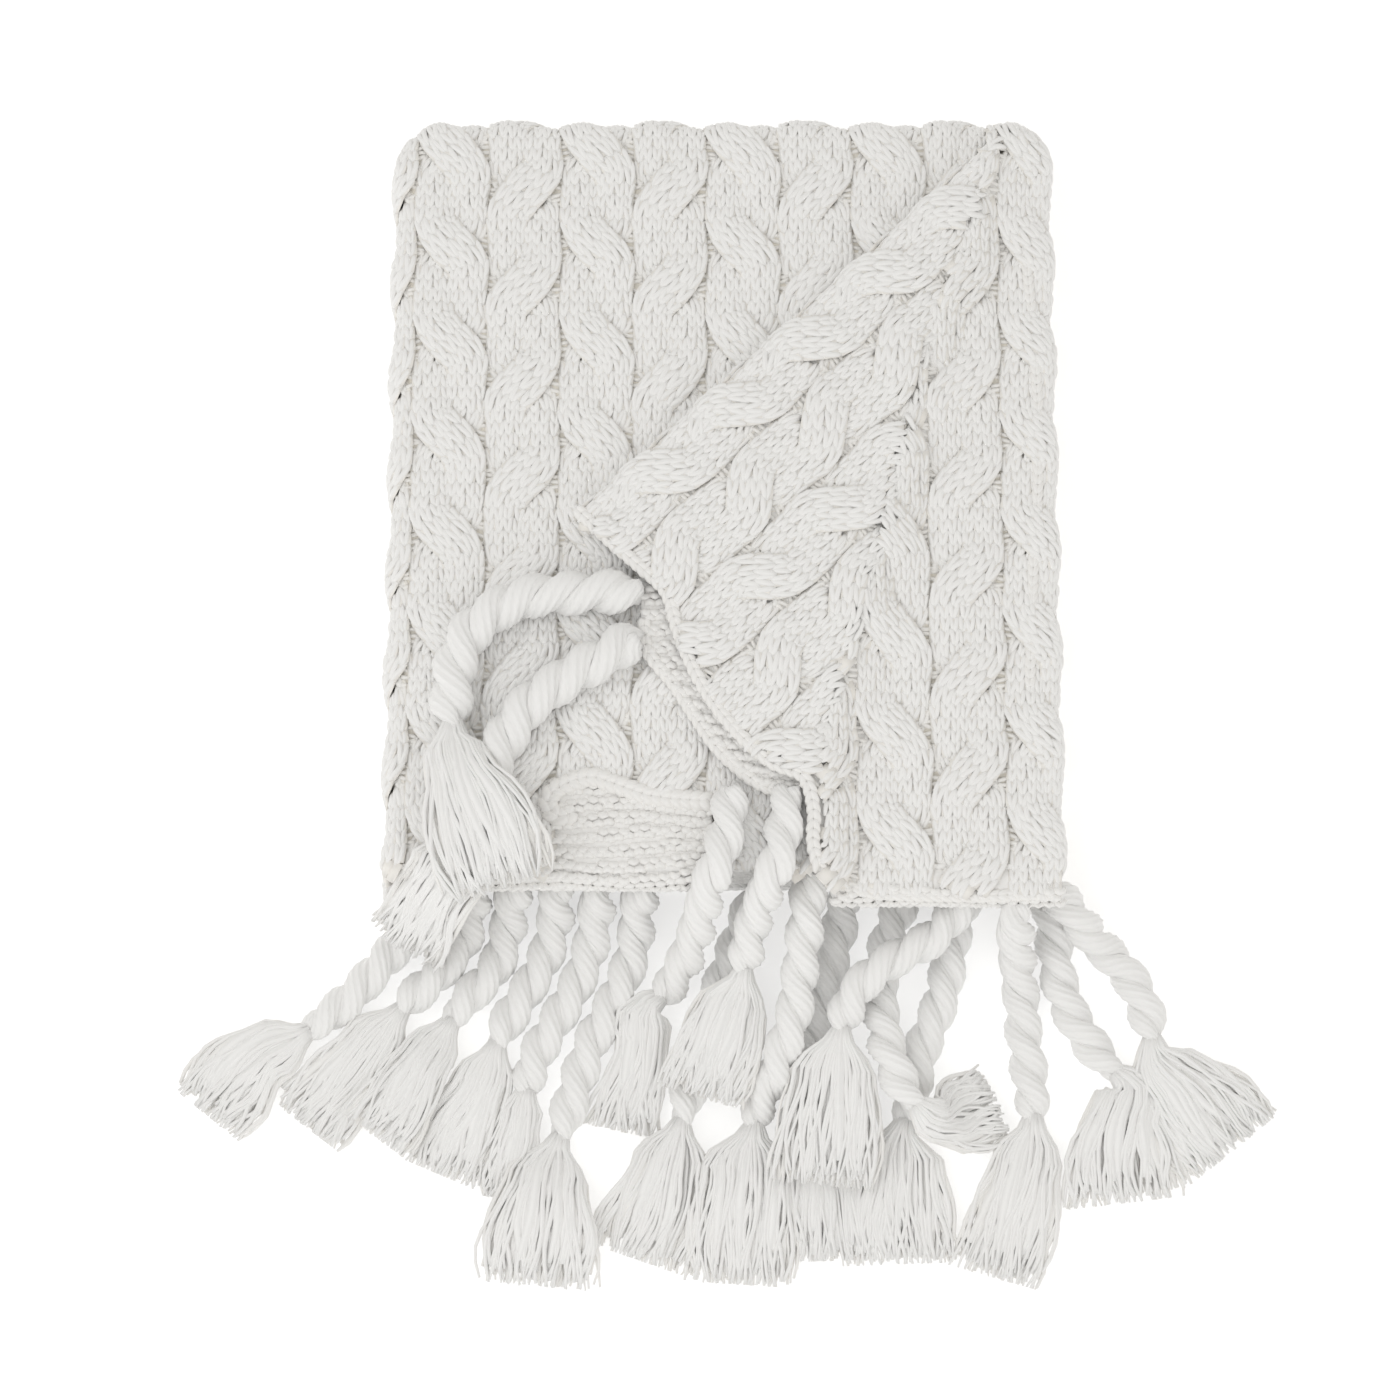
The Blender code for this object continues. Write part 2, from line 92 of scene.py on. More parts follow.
# Fringe: number, side its x is measured from, what its root is sewn to, radius, route
# (mm, mm, share of the stack's height, rope radii), tassel (mm, mm, share, mm above, half width)
TOP_ROPE_RADIUS = 0.0140
ROPE_RADIUS = 0.0120
FRINGE = [
    (1, "left", "corner_side", TOP_ROPE_RADIUS,
     [(162, 179, 1, 1), (139, 179, 1, 1), (115, 178, 1, 1), (92, 176, 1, 1), (70, 167, 1, 1),
      (54, 153, 1, 1), (45, 134, 1, 1), (42, 113, 1, 1), (43, 89, 1, 1)],
     [(43, 81, 1, 15, 6), (48, 60, 1, 30, 14), (56, 38, 1, 37, 26), (67, 9, 1, 36, 32),
      (76, -16, 1, 22, 27)]),
    (2, "left", "corner_side", TOP_ROPE_RADIUS,
     [(162, 147, 1, 1), (142, 137, 1, 1), (124, 128, 1, 1), (106, 116, 1, 1), (88, 101, 1, 1),
      (77, 83, 1, 1), (67, 61, 1, 1), (59, 37, 1, 1), (51, 20, 1, 1)],
     [(49, 12, 1, 11, 6), (40, -6, 1, 10, 17), (24, -24, 0.62, 10, 23), (10, -43, 0.25, 14, 25)]),
    (3, "left", "stack", ROPE_RADIUS,
     [(29, 0, 0.15, 1), (19, -17, 0.08, 1), (4, -38, 0, 1.03), (-11, -56, 0, 1.03),
      (-26, -73, 0, 1.03), (-44, -88, 0, 1.03), (-57, -97, 0, 1.03)],
     [(-63, -100, 0, 12, 6), (-82, -110, 0, 12, 18), (-101, -127, 0, 10, 25),
      (-118, -148, 0, 8, 23)]),
    (4, "left", "stack", ROPE_RADIUS,
     [(55, 0, 0.42, 1), (53, -18, 0.18, 1), (46, -38, 0.02, 1), (32, -56, 0, 1.03),
      (19, -68, 0, 1.03), (4, -84, 0, 1.03)],
     [(-1, -91, 0, 12, 6), (-16, -110, 0, 12, 17), (-33, -132, 0, 10, 22), (-52, -157, 0, 8, 23)]),
    (5, "left", "stack", ROPE_RADIUS,
     [(81, 0, 0.42, 1), (79, -18, 0.18, 1), (74, -36, 0.02, 1), (66, -56, 0, 1.03),
      (52, -71, 0, 1.03), (37, -92, 0, 1.03)],
     [(32, -99, 0, 12, 6), (19, -119, 0, 18, 16), (6, -142, 0, 22, 20), (-9, -163, 0, 22, 20)]),
    (6, "left", "stack", ROPE_RADIUS,
     [(108, 0, 0.42, 1), (108, -20, 0.18, 1), (103, -39, 0.02, 1), (94, -58, 0, 1.03),
      (84, -75, 0, 1.03), (74, -92, 0, 1.03), (68, -108, 0, 1.03)],
     [(66, -115, 0, 12, 6), (57, -138, 0, 12, 17), (45, -161, 0, 10, 22), (34, -187, 0, 8, 23)]),
    (7, "left", "stack", ROPE_RADIUS,
     [(135, 0, 0.42, 1), (134, -21, 0.2, 1), (130, -40, 0.06, 1), (122, -61, 0, 1.03),
      (112, -80, 0, 1.03), (102, -97, 0, 1.03), (93, -115, 0, 1.03), (88, -139, 0, 1.03)],
     [(86, -146, 0, 12, 6), (83, -165, 0, 12, 11), (80, -183, 0, 10, 13), (78, -202, 0, 8, 14)]),
    (8, "left", "stack", ROPE_RADIUS,
     [(163, 0, 0.42, 1), (161, -20, 0.18, 1), (158, -40, 0.02, 1), (151, -61, 0, 1.03),
      (141, -82, 0, 1.03), (130, -103, 0, 1.03), (122, -126, 0, 1.03), (115, -149, 0, 1.03),
      (110, -168, 0, 1.03)],
     [(107, -176, 0, 14, 6), (102, -201, 0, 22, 22), (99, -227, 0, 22, 30),
      (96, -258, 0, 14, 29)]),
    (9, "left", "corner_tip", ROPE_RADIUS,
     [(220, 0, 1, 1), (218, 24, 1, 1.05), (210, -3, 1, 1.2), (204, -20, 0.78, 1),
      (199, -35, 0.5, 1), (191, -52, 0.25, 1), (180, -68, 0.06, 1), (171, -77, 0, 1.4)],
     [(165, -81, 0, 17, 6), (163, -101, 0, 13, 13), (158, -126, 0, 9, 16),
      (151, -159, 0, 8, 20)]),
    (10, "left", "corner_tip", ROPE_RADIUS,
     [(256, 0, 1, 1), (254, 24, 1, 1.05), (248, -3, 1, 1.3), (241, -18, 0.8, 1),
      (235, -32, 0.58, 1), (231, -48, 0.45, 1), (228, -62, 0.33, 1)],
     [(226, -70, 0.3, 12, 6), (218, -91, 0.3, 11, 21), (208, -116, 0.3, 11, 24),
      (201, -140, 0.3, 11, 24)]),
    (11, "left", "stack", ROPE_RADIUS,
     [(241, 0, 0.12, 1), (232, -18, 0.03, 1), (223, -41, 0, 1.03), (214, -64, 0, 1.03),
      (205, -87, 0, 1.03), (198, -110, 0, 1.03), (193, -136, 0, 1.03), (188, -158, 0, 1.03)],
     [(186, -166, 0, 12, 6), (180, -190, 0, 12, 20), (172, -216, 0, 10, 25),
      (163, -242, 0, 8, 25)]),
    (12, "left", "stack", ROPE_RADIUS,
     [(271, 0, 0.62, 1), (269, -26, 0.58, 1), (267, -47, 0.5, 1), (264, -69, 0.4, 1),
      (261, -88, 0.35, 1), (255, -107, 0.3, 1), (247, -128, 0.18, 1), (238, -147, 0.05, 1),
      (235, -160, 0.01, 1)],
     [(234, -167, 0, 13, 6), (232, -194, 0, 14, 21), (229, -226, 0, 12, 25),
      (227, -257, 0, 8, 23)]),
    (13, "right", "stack", ROPE_RADIUS,
     [(-137, 0, 0.14, 1), (-140, -18, 0.03, 1), (-145, -41, 0, 1.03), (-151, -64, 0, 1.03),
      (-157, -87, 0, 1.03), (-160, -110, 0, 1.03), (-161, -130, 0, 1.03)],
     [(-160, -138, 0, 12, 6), (-157, -171, 0, 11, 18), (-153, -206, 0, 10, 21),
      (-152, -242, 0, 8, 21)]),
    (14, "right", "stack", ROPE_RADIUS,
     [(-62, 0, 0.43, 1), (-68, -20, 0.41, 1), (-80, -36, 0.39, 1), (-99, -47, 0.4, 1),
      (-117, -58, 0.42, 1), (-131, -71, 0.39, 1), (-139, -86, 0.33, 1), (-143, -101, 0.29, 1)],
     [(-144, -110, 0.3, 12, 6), (-147, -135, 0.3, 11, 20), (-150, -164, 0.3, 10, 25),
      (-153, -196, 0.3, 8, 25)]),
    (15, "right", "stack", ROPE_RADIUS,
     [(-98, 0, 0.1, 1), (-105, -19, 0.02, 1), (-112, -41, 0, 1.05), (-116, -66, 0, 1.1),
      (-115, -93, 0.17, 1), (-110, -117, 0.32, 1), (-102, -135, 0.35, 1), (-91, -149, 0.33, 1)],
     [(-82, -154, 0.3, 9, 6), (-70, -152, 0.15, 9, 16), (-56, -147, 0, 14, 18),
      (-41, -141, 0, 9, 18)]),
    (16, "right", "stack", ROPE_RADIUS,
     [(-59, 0, 0.04, 1), (-64, -18, 0, 1.03), (-69, -38, 0, 1.03), (-73, -61, 0, 1.03),
      (-79, -82, 0, 1.03), (-87, -101, 0, 1.03), (-93, -123, 0, 1.03), (-98, -142, 0, 1.03),
      (-102, -158, 0, 1.03)],
     [(-104, -166, 0, 12, 6), (-105, -187, 0, 12, 20), (-105, -216, 0, 10, 26),
      (-104, -244, 0, 8, 26)]),
    (17, "right", "right_hem", ROPE_RADIUS,
     [(-31, 0, 0.7, 1), (-29, -39, 0.42, 1), (-26, -55, 0.14, 1), (-24, -74, 0, 1.03),
      (-23, -97, 0, 1.03), (-20, -121, 0, 1.03), (-18, -144, 0, 1.03), (-18, -155, 0, 1.03)],
     [(-19, -163, 0, 11, 6), (-26, -194, 0, 12, 20), (-35, -225, 0, 10, 25),
      (-43, -253, 0, 8, 23)]),
    (18, "right", "stack", ROPE_RADIUS,
     [(-7, 0, 0.42, 1), (5, -17, 0.36, 1), (18, -31, 0.2, 1), (34, -45, 0.02, 1),
      (48, -62, 0, 1.03), (56, -80, 0, 1.03), (61, -104, 0, 1.03)],
     [(62, -114, 0, 12, 6), (79, -134, 0, 12, 21), (95, -153, 0, 10, 27), (110, -172, 0, 8, 27)]),
    (19, "right", "stack", ROPE_RADIUS,
     [(-5, 0, 0.01, 1), (-4, -20, 0, 1.03), (-2, -41, 0, 1.03), (1, -63, 0, 1.03),
      (8, -83, 0, 1.03), (18, -100, 0, 1.03), (29, -114, 0, 1.03), (40, -125, 0, 1.03)],
     [(47, -131, 0, 11, 6), (41, -154, 0, 12, 18), (38, -177, 0, 10, 25), (41, -205, 0, 8, 27)]),
]


# ---------------------------------------------------------------- yarn finishes

class Link:
    """A shader value that takes part in ordinary sums."""

    def __init__(self, tree, socket=None):
        self.tree = tree
        self.socket = socket

    def node(self, kind, settings=None, sockets=None, out=0):
        made = self.tree.nodes.new(kind)
        for name, value in (settings or {}).items():
            setattr(made, name, value)
        for key, value in (sockets or {}).items():
            if isinstance(value, Link):
                self.tree.links.new(value.socket, made.inputs[key])
            else:
                made.inputs[key].default_value = value
        return Link(self.tree, made.outputs[out])

    def sum(self, operation, first, second):
        return self.node("ShaderNodeMath", {"operation": operation}, {0: first, 1: second})

    def __add__(self, other):
        return self.sum("ADD", self, other)

    __radd__ = __add__

    def __mul__(self, other):
        return self.sum("MULTIPLY", self, other)

    __rmul__ = __mul__

    def __sub__(self, other):
        return self.sum("SUBTRACT", self, other)

    def __rsub__(self, other):
        return self.sum("SUBTRACT", other, self)

    def colours(self, none, full):
        return self.node("ShaderNodeMix", {"data_type": "RGBA"}, {0: self, 6: none, 7: full}, 2)


def finish(name, constants):
    material = bpy.data.materials.new(name)
    material.use_nodes = True
    tree = material.node_tree
    shader = tree.nodes["Principled BSDF"]
    for key, value in constants.items():
        shader.inputs[key].default_value = value
    return material, Link(tree), shader


def yarn(name, pale, shaded, crevice_shade_colour, streaks, fibre):
    """Spun yarn: fibres run along it, and a per-point attribute mixes in a painted shade colour that
    makes it warmer and darker down between the stitches.
    """
    material, start, shader = finish(name, {"Specular IOR Level": 0.15, "Sheen Weight": 0.15,
                                            "Sheen Roughness": 0.55, "Metallic": 0.0})
    tree = start.tree
    along = start.node("ShaderNodeUVMap", {"uv_map": "strand"})
    streaked = start.node("ShaderNodeVectorMath", {"operation": "MULTIPLY"},
                          {0: along, 1: streaks})
    lines = start.node("ShaderNodeTexNoise", {}, {"Vector": streaked, "Scale": 1.0, "Detail": 3.0,
                                                  "Roughness": 0.6})
    place = start.node("ShaderNodeTexCoord", out=3)
    broad = start.node("ShaderNodeTexNoise", {}, {"Vector": place, "Scale": 14.0, "Detail": 2.0})
    fuzz = start.node("ShaderNodeTexNoise", {}, {"Vector": place, "Scale": 900.0, "Detail": 2.0})
    # The per-point amount of painted shade, set where strands lie deep in the knit.
    crevice_shade = start.node("ShaderNodeAttribute", {"attribute_name": "crevice_shade"}, out=2)
    dyed = (broad * 0.5 + lines * 0.5).colours((*shaded, 1.0), (*pale, 1.0))
    # Painted shade: the yarn's colour mixed towards its warmer, darker shade colour by that amount.
    deep = start.node("ShaderNodeMix", {"data_type": "RGBA"}, {0: crevice_shade, 6: dyed,
                                                               7: (*crevice_shade_colour, 1.0)}, 2)
    tree.links.new(deep.socket, shader.inputs["Base Color"])
    tree.links.new((lines * 0.2 + 0.72).socket, shader.inputs["Roughness"])
    bump = start.node("ShaderNodeBump", {}, {"Strength": fibre, "Distance": 0.0006,
                                             "Height": lines + fuzz * 0.35})
    tree.links.new(bump.socket, shader.inputs["Normal"])
    return material


def painted_shade_panel(name):
    """The panel down behind the stitches, seen only through the knit; its warm beige, darker than the
    yarn, is painted shade for the holes.
    """
    material, start, shader = finish(name, {"Specular IOR Level": 0.1, "Metallic": 0.0})
    tree = start.tree
    place = start.node("ShaderNodeTexCoord", out=3)
    loops = start.node("ShaderNodeTexVoronoi", {}, {"Vector": place, "Scale": 260.0})
    broad = start.node("ShaderNodeTexNoise", {}, {"Vector": place, "Scale": 30.0})
    # Painted shade: the beige tones stand in for the shade seen through the holes; the loops pattern
    # varies them.
    tone = (loops * 0.7 + broad * 0.3).colours((0.90, 0.86, 0.78, 1.0), (0.94, 0.91, 0.84, 1.0))
    tree.links.new(tone.socket, shader.inputs["Base Color"])
    tree.links.new((broad * 0.2 + 0.8).socket, shader.inputs["Roughness"])
    bump = start.node("ShaderNodeBump", {}, {"Strength": 0.6, "Distance": 0.001, "Height": loops})
    tree.links.new(bump.socket, shader.inputs["Normal"])
    return material


# Each yarn: pale and darker random tones, then the painted shade colour that its deep parts are mixed
# towards, the fibre streaks and the bump strength.
KNIT = yarn("ivory knit yarn", (0.958, 0.955, 0.946), (0.940, 0.935, 0.924), (0.955, 0.925, 0.872),
            (160.0, 5.0, 1.0), 0.25)
HEM = yarn("ivory hem yarn", (0.958, 0.953, 0.942), (0.940, 0.932, 0.918), (0.955, 0.925, 0.872),
           (160.0, 5.0, 1.0), 0.25)
ROPE = yarn("ivory rope yarn", (0.968, 0.966, 0.958), (0.950, 0.946, 0.936), (0.950, 0.922, 0.870),
            (90.0, 22.0, 1.0), 0.7)
CUT = yarn("ivory cut yarn", (0.962, 0.960, 0.952), (0.944, 0.940, 0.930), (0.945, 0.920, 0.875),
           (60.0, 4.0, 1.0), 0.35)
# Behind the stitches and round the folds: a warm beige darker than the yarn, painted shade for what is
# seen through the knit.
PANEL_BACK = painted_shade_panel("shaded knit panel")


# ---------------------------------------------------------------- meshes from strands

def unit(vectors):
    return vectors / np.maximum(np.linalg.norm(vectors, axis=-1, keepdims=True), 1e-12)


def lay_mesh(name, points, faces, material, body, uvs=None, strands=None, crevice_shade=None):
    """Make an object from points and arrays of faces, each array with its own side count."""
    mesh = bpy.data.meshes.new(name)
    mesh.vertices.add(len(points))
    mesh.vertices.foreach_set("co", np.ascontiguousarray(points, np.float32).ravel())
    corners = np.concatenate([f.ravel() for f in faces])
    sizes = np.concatenate([np.full(len(f), f.shape[1]) for f in faces])
    mesh.loops.add(len(corners))
    mesh.loops.foreach_set("vertex_index", corners.astype(np.int32))
    mesh.polygons.add(len(sizes))
    mesh.polygons.foreach_set("loop_start", (np.cumsum(sizes) - sizes).astype(np.int32))
    mesh.update(calc_edges=True)
    mesh.polygons.foreach_set("use_smooth", np.ones(len(sizes), bool))
    for layer, values in (("OFBake", uvs), ("strand", strands)):
        if values is not None:
            made = mesh.uv_layers.new(name=layer)
            made.data.foreach_set("uv", values.astype(np.float32).ravel())
    # A per-point amount of painted shade, read by the yarn finishes.
    if crevice_shade is not None:
        made = mesh.attributes.new("crevice_shade", "FLOAT", "POINT")
        made.data.foreach_set("value", crevice_shade.astype(np.float32).ravel())
    mesh.materials.append(material)
    piece = bpy.data.objects.new(name, mesh)
    bpy.context.scene.collection.objects.link(piece)
    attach(piece, body)
    return piece


def strand_layers(paths, angles):
    """The two UV layers of a piece: a cell a strand to bake on, and the run along its yarn."""
    count, stations = paths.shape[:2]
    sides = len(angles)
    cells = math.ceil(math.sqrt(count))
    cell = np.stack([np.arange(count) % cells, np.arange(count) // cells], -1) / cells
    s = np.arange(stations) / (stations - 1)
    q = np.arange(sides + 1) / sides
    low, high = s[:-1, None], s[1:, None]
    near, far = q[None, :-1], q[None, 1:]
    full = np.broadcast_arrays(low, high, near, far)
    grid = np.stack([np.stack([full[0], full[2]], -1), np.stack([full[0], full[3]], -1),
                     np.stack([full[1], full[3]], -1), np.stack([full[1], full[2]], -1)], 2)
    islands = cell[:, None, None, None] + (0.02 + grid * (0.80, 0.94)) / cells
    ring = np.stack([np.cos(angles), np.sin(angles)], -1) * 0.05
    caps = np.concatenate([
        (cell[:, None] + (ring + (0.91, 0.25)) / cells).reshape(-1, 2),
        (cell[:, None] + (ring + (0.91, 0.75)) / cells).reshape(-1, 2)])
    uvs = np.concatenate([islands.reshape(-1, 2), caps])
    lengths = np.concatenate([np.zeros((count, 1)), np.cumsum(
        np.linalg.norm(np.diff(paths, axis=1), axis=-1), axis=1)], 1)
    seed = chance.random(count) * 50
    run = lengths + seed[:, None]
    corner_run = np.stack([run[:, :-1], run[:, :-1], run[:, 1:], run[:, 1:]], -1)
    corner_run = np.broadcast_to(corner_run[:, :, None], (count, stations - 1, sides, 4))
    corner_turn = np.stack(np.broadcast_arrays(near, far, far, near), -1)
    corner_turn = np.broadcast_to(corner_turn[None], (count, stations - 1, sides, 4))
    strands = np.concatenate([np.stack([corner_run, corner_turn], -1).reshape(-1, 2), caps])
    return uvs, strands


def strand_piece(name, paths, radii, normals, material, body, sides=6, flat=1.0, crevice_shade=None,
                 ribs=None):
    """Closed strands of yarn: paths (count, stations, 3), radii (count, stations)."""
    count, stations = radii.shape
    along = unit(np.gradient(paths, axis=1))
    side = unit(np.cross(along, normals))
    up = np.cross(side, along)
    angles = 2 * math.pi * (np.arange(sides) + 0.5) / sides
    swell = np.ones((count, stations, sides)) if ribs is None else ribs(angles)
    reach = radii[:, :, None] * swell
    rings = (paths[:, :, None] + side[:, :, None] * (reach * np.cos(angles))[..., None]
             + up[:, :, None] * (flat * reach * np.sin(angles))[..., None])
    points = rings.reshape(-1, 3)
    points[:, 2] = np.maximum(points[:, 2], 0.0006)
    first = (np.arange(count) * stations * sides)[:, None, None]
    station = (np.arange(stations - 1) * sides)[None, :, None]
    around = np.arange(sides)[None, None, :]
    after = (around + 1) % sides
    quads = np.stack([first + station + around, first + station + after,
                      first + station + sides + after, first + station + sides + around], -1)
    start_cap = (first[:, :, 0] + np.arange(sides)[None, ::-1]).reshape(count, sides)
    end_cap = first[:, :, 0] + (stations - 1) * sides + np.arange(sides)[None, :]
    uvs, strands = strand_layers(paths, angles)
    # Amount of painted shade at each station, copied round each ring.
    tone = np.zeros((count, stations)) if crevice_shade is None else crevice_shade
    shade_round_rings = np.repeat(tone[:, :, None], sides, 2)
    return lay_mesh(name, points, [quads.reshape(-1, 4), start_cap, end_cap], material, body,
                    uvs, strands, shade_round_rings)


# ---------------------------------------------------------------- the shape of the cloth

def step(x):
    x = np.clip(x, 0.0, 1.0)
    return x * x * (3 - 2 * x)


def inside(x, y, outline):
    """Which points lie inside an outline."""
    found = np.zeros(np.shape(x), bool)
    for (x1, y1), (x2, y2) in zip(outline, outline[1:] + outline[:1]):
        if y1 == y2:
            continue
        crosses = (y1 > y) != (y2 > y)
        found ^= crosses & (x < (x2 - x1) * (y - y1) / (y2 - y1) + x1)
    return found


def laid(points):
    return [(X0 + x, Y0 + y) for x, y in points]


def past_ridge(x, y):
    """How far a point is to the right of the soft crease beside the turned corner."""
    ridge = np.array(laid(RIDGE))
    across = np.interp(y, ridge[:, 1], ridge[:, 0])
    lean = np.interp(y, ridge[:, 1], np.gradient(ridge[:, 0], ridge[:, 1]))
    return (x - across) / np.sqrt(1 + lean ** 2)


def rise(x, y):
    """Height that the turned corner adds, easing down beyond its crease."""
    return CORNER_RISE * (1 - step((past_ridge(x, y) + 0.016) / 0.046))


def third_face(level):
    """Carry a point of flat cloth over one folded third and round its sides."""
    top = level * (THIRD + GAP) + THIRD
    roll = THIRD / 2

    def place(x, y, height):
        to_left, to_right = LEFT + FOLD_CORNER - x, x - (RIGHT - FOLD_CORNER)
        out_x = np.maximum(np.maximum(to_left, to_right), 0)
        out_y = np.maximum(y - (BACK_Y - FOLD_CORNER), 0)
        out = np.maximum(np.hypot(out_x, out_y), 1e-9)
        way_x = np.where(to_right > to_left, 1, -1) * out_x / out
        way_y = out_y / out
        past = np.maximum(out - (FOLD_CORNER - roll), 0)
        turn = past / roll
        lift = height + REST
        reach = (roll + lift) * np.sin(turn)
        spot = np.stack([x - way_x * (past - reach), y - way_y * (past - reach),
                         top - roll + (roll + lift) * np.cos(turn)], -1)
        if level == 2:
            carried = np.where(past_ridge(x, y) > -0.006, rise(x, y), 0)
            spot[..., 2] += carried * (1 - step(turn / 1.5))
        face = np.stack([way_x * np.sin(turn), way_y * np.sin(turn), np.cos(turn)], -1)
        return spot, face, turn
    return place


ALONG = unit(CORNER_END - CORNER_START)
OUTWARD = np.array([-ALONG[1], ALONG[0]])


def corner_face(x, y, height):
    """Carry a point of flat cloth over the turned corner: x across it, y along its fold."""
    roll = CORNER_RISE / 2
    past = np.maximum(x + roll, 0)
    turn = past / roll
    lift = height + REST
    reach = np.minimum(x, -roll) + (roll + lift) * np.sin(turn)
    flat = CORNER_START + reach[..., None] * OUTWARD + y[..., None] * ALONG
    fall = CORNER_RISE - rise(flat[..., 0], flat[..., 1])
    z = TOP_Z + CORNER_RISE - roll + (roll + lift) * np.cos(turn) - fall
    face = np.stack([OUTWARD[0] * np.sin(turn), OUTWARD[1] * np.sin(turn), np.cos(turn)], -1)
    return np.concatenate([flat, z[..., None]], -1), face, turn


# ---------------------------------------------------------------- knitting

LEG_REACH = 0.70                # half the length of a leg, in rows
LEG_JUMP = 0.20                 # spread of the legs' places along a wale, in rows
LEG_OUT = 0.00148               # middle of a leg from the middle of its wale
LEG_SPLAY = 0.00115             # how much further out its top is, and further in its foot
LEG_ARCH = 0.0008               # how much lower its ends are than its middle
LEG_TAPER = 0.55                # share of its radius that it loses at its ends
MOVE_FROM = 0.22                # where the strands start to change sides, in one crossing's run
MOVE_SHARE = 0.56               # share of the run that this takes
STRAND_AT = 0.26                # middle of a strand from the cable's edge, in columns
STRAND_MOVE = 0.48              # how far it changes sides, in columns
HUMP_FROM = 0.06                # where the strand in front starts to rise, in the same run
HUMP_SHARE = 0.88               # share of the run that it rises and falls over
FRONT_RISE = 0.0030             # height of the strand in front where they cross
BACK_RISE = -0.0024             # and of the one behind
CROWN = 0.0026                  # how much higher a strand's middle is than its edges
STRAND_HALF = 0.0118            # half the width of a strand
CORE_DOWN = 0.0014              # how far the loops' backs lie below the legs
CORE_RADIUS = 0.0043


def cable_legs(edge, start, rows, lean, crossing, stations=5, core=False):
    """One cable's stitches on flat cloth: two strands of four wales that cross over.

    Each stitch is two legs of yarn. The core is the loops' own backs, close under the legs.
    """
    spine = np.linspace(-1, 1, 2 if core else stations)
    stations = len(spine)
    strand, wale, row, leg, s = np.meshgrid(range(2), range(4), range(rows),
                                            (0,) if core else (-1, 1), spine, indexing="ij")
    jump = 0 if core else chance.random(row.shape[:4] + (1,)) - 0.5
    y = start + (row + 0.5 + s * (0.5 if core else LEG_REACH) + jump * LEG_JUMP) * ROW
    turn = (y - crossing) / CROSSING + 0.5
    count = np.floor(turn)
    part = turn - count
    front = (count + strand) % 2 == 0
    moved = np.clip((part - MOVE_FROM) / MOVE_SHARE, 0, 1)
    share = step(moved)
    bend = np.arctan(6 * moved * (1 - moved) / MOVE_SHARE * STRAND_MOVE * COLUMN / CROSSING)
    way = np.where(front, 1, -1)
    centre = np.where(front, STRAND_AT + STRAND_MOVE * share, 1 - STRAND_AT - STRAND_MOVE * share)
    hump = np.sin(math.pi * np.clip((part - HUMP_FROM) / HUMP_SHARE, 0, 1))
    offset = (wale - 1.5) * WALE + leg * (LEG_OUT + LEG_SPLAY * s)
    spine_wave = row + 0.5 * s
    offset = offset + 0.0005 * np.sin(spine_wave * 1.7 + wale * 2.3 + strand)
    profile = CROWN * (1 - (offset / STRAND_HALF) ** 2)
    offset = offset * (1 + np.where(front, 0.20, 0.08) * hump)
    x = COLUMN * centre + offset * np.cos(bend)
    y = y - offset * np.sin(bend) * way
    height = np.where(front, FRONT_RISE, BACK_RISE) * hump + profile
    if core:
        height = height - CORE_DOWN
    else:
        height = height - LEG_ARCH * s ** 2 + 0.0003 * np.sin(row * 2.1 + wale * 1.7)
    x = edge + (x if lean > 0 else COLUMN - x)
    hidden = (~front) & (hump > 0.9) & (np.abs(wale - 1.5) < 1)
    full = 1 - LEG_TAPER * np.abs(spine) ** 3
    shape = x.reshape(-1, stations).shape
    if core:
        radius = np.full(shape, CORE_RADIUS) * (1 + 0.2 * hump.reshape(shape))
    else:
        radius = np.broadcast_to(LEG * full, shape) * (0.94 + 0.12 * chance.random((shape[0], 1)))
        radius = radius * (1 + np.where(front, 0.22, 0.10) * hump).reshape(shape)
    # Painted shade: legs that lie below the face, and most of all the loops' backs, get more of the
    # yarn's warm shade colour.
    deep = np.clip(-height / 0.004, 0, 1) * 0.5 + (0.7 if core else 0.0)
    middle = stations // 2
    shown = ~hidden.reshape(shape)[:, middle]
    return [a.reshape(shape)[shown] for a in (x, y, height, radius, deep)]


def rungs(edge, start, rows, stations=5):
    """Thin purl bars that cross the channel between two cables."""
    s = np.linspace(-1, 1, stations)
    row, bar = np.meshgrid(range(rows), range(2), indexing="ij")
    middle = start + (row + 0.25 + 0.5 * bar).ravel()[:, None] * ROW
    middle = middle + (chance.random(middle.shape) - 0.5) * 0.002
    slant = (chance.random(middle.shape) - 0.5) * 0.004
    x = edge + s[None] * 0.0062 + 0 * middle
    y = middle + slant * s[None]
    height = -0.0020 + 0.0012 * s[None] ** 2 + 0 * middle
    radius = np.full(x.shape, 0.00150)
    # The purl bars lie down in the channel: a fixed share of painted shade.
    return [x, y, height, radius, np.full(x.shape, 0.35)]


def join(parts):
    return [np.concatenate(arrays) for arrays in zip(*parts)]


def knit_piece(name, legs, place, keep, material=KNIT, flat=0.80):
    x, y, height, radius, deep = legs
    spot, face, turn = place(x, y, height)
    middle = x.shape[1] // 2
    shown = keep(spot[:, middle], turn[:, middle])
    return strand_piece(name, spot[shown], radius[shown], face[shown], material, "throw",
                        flat=flat, crevice_shade=deep[shown])


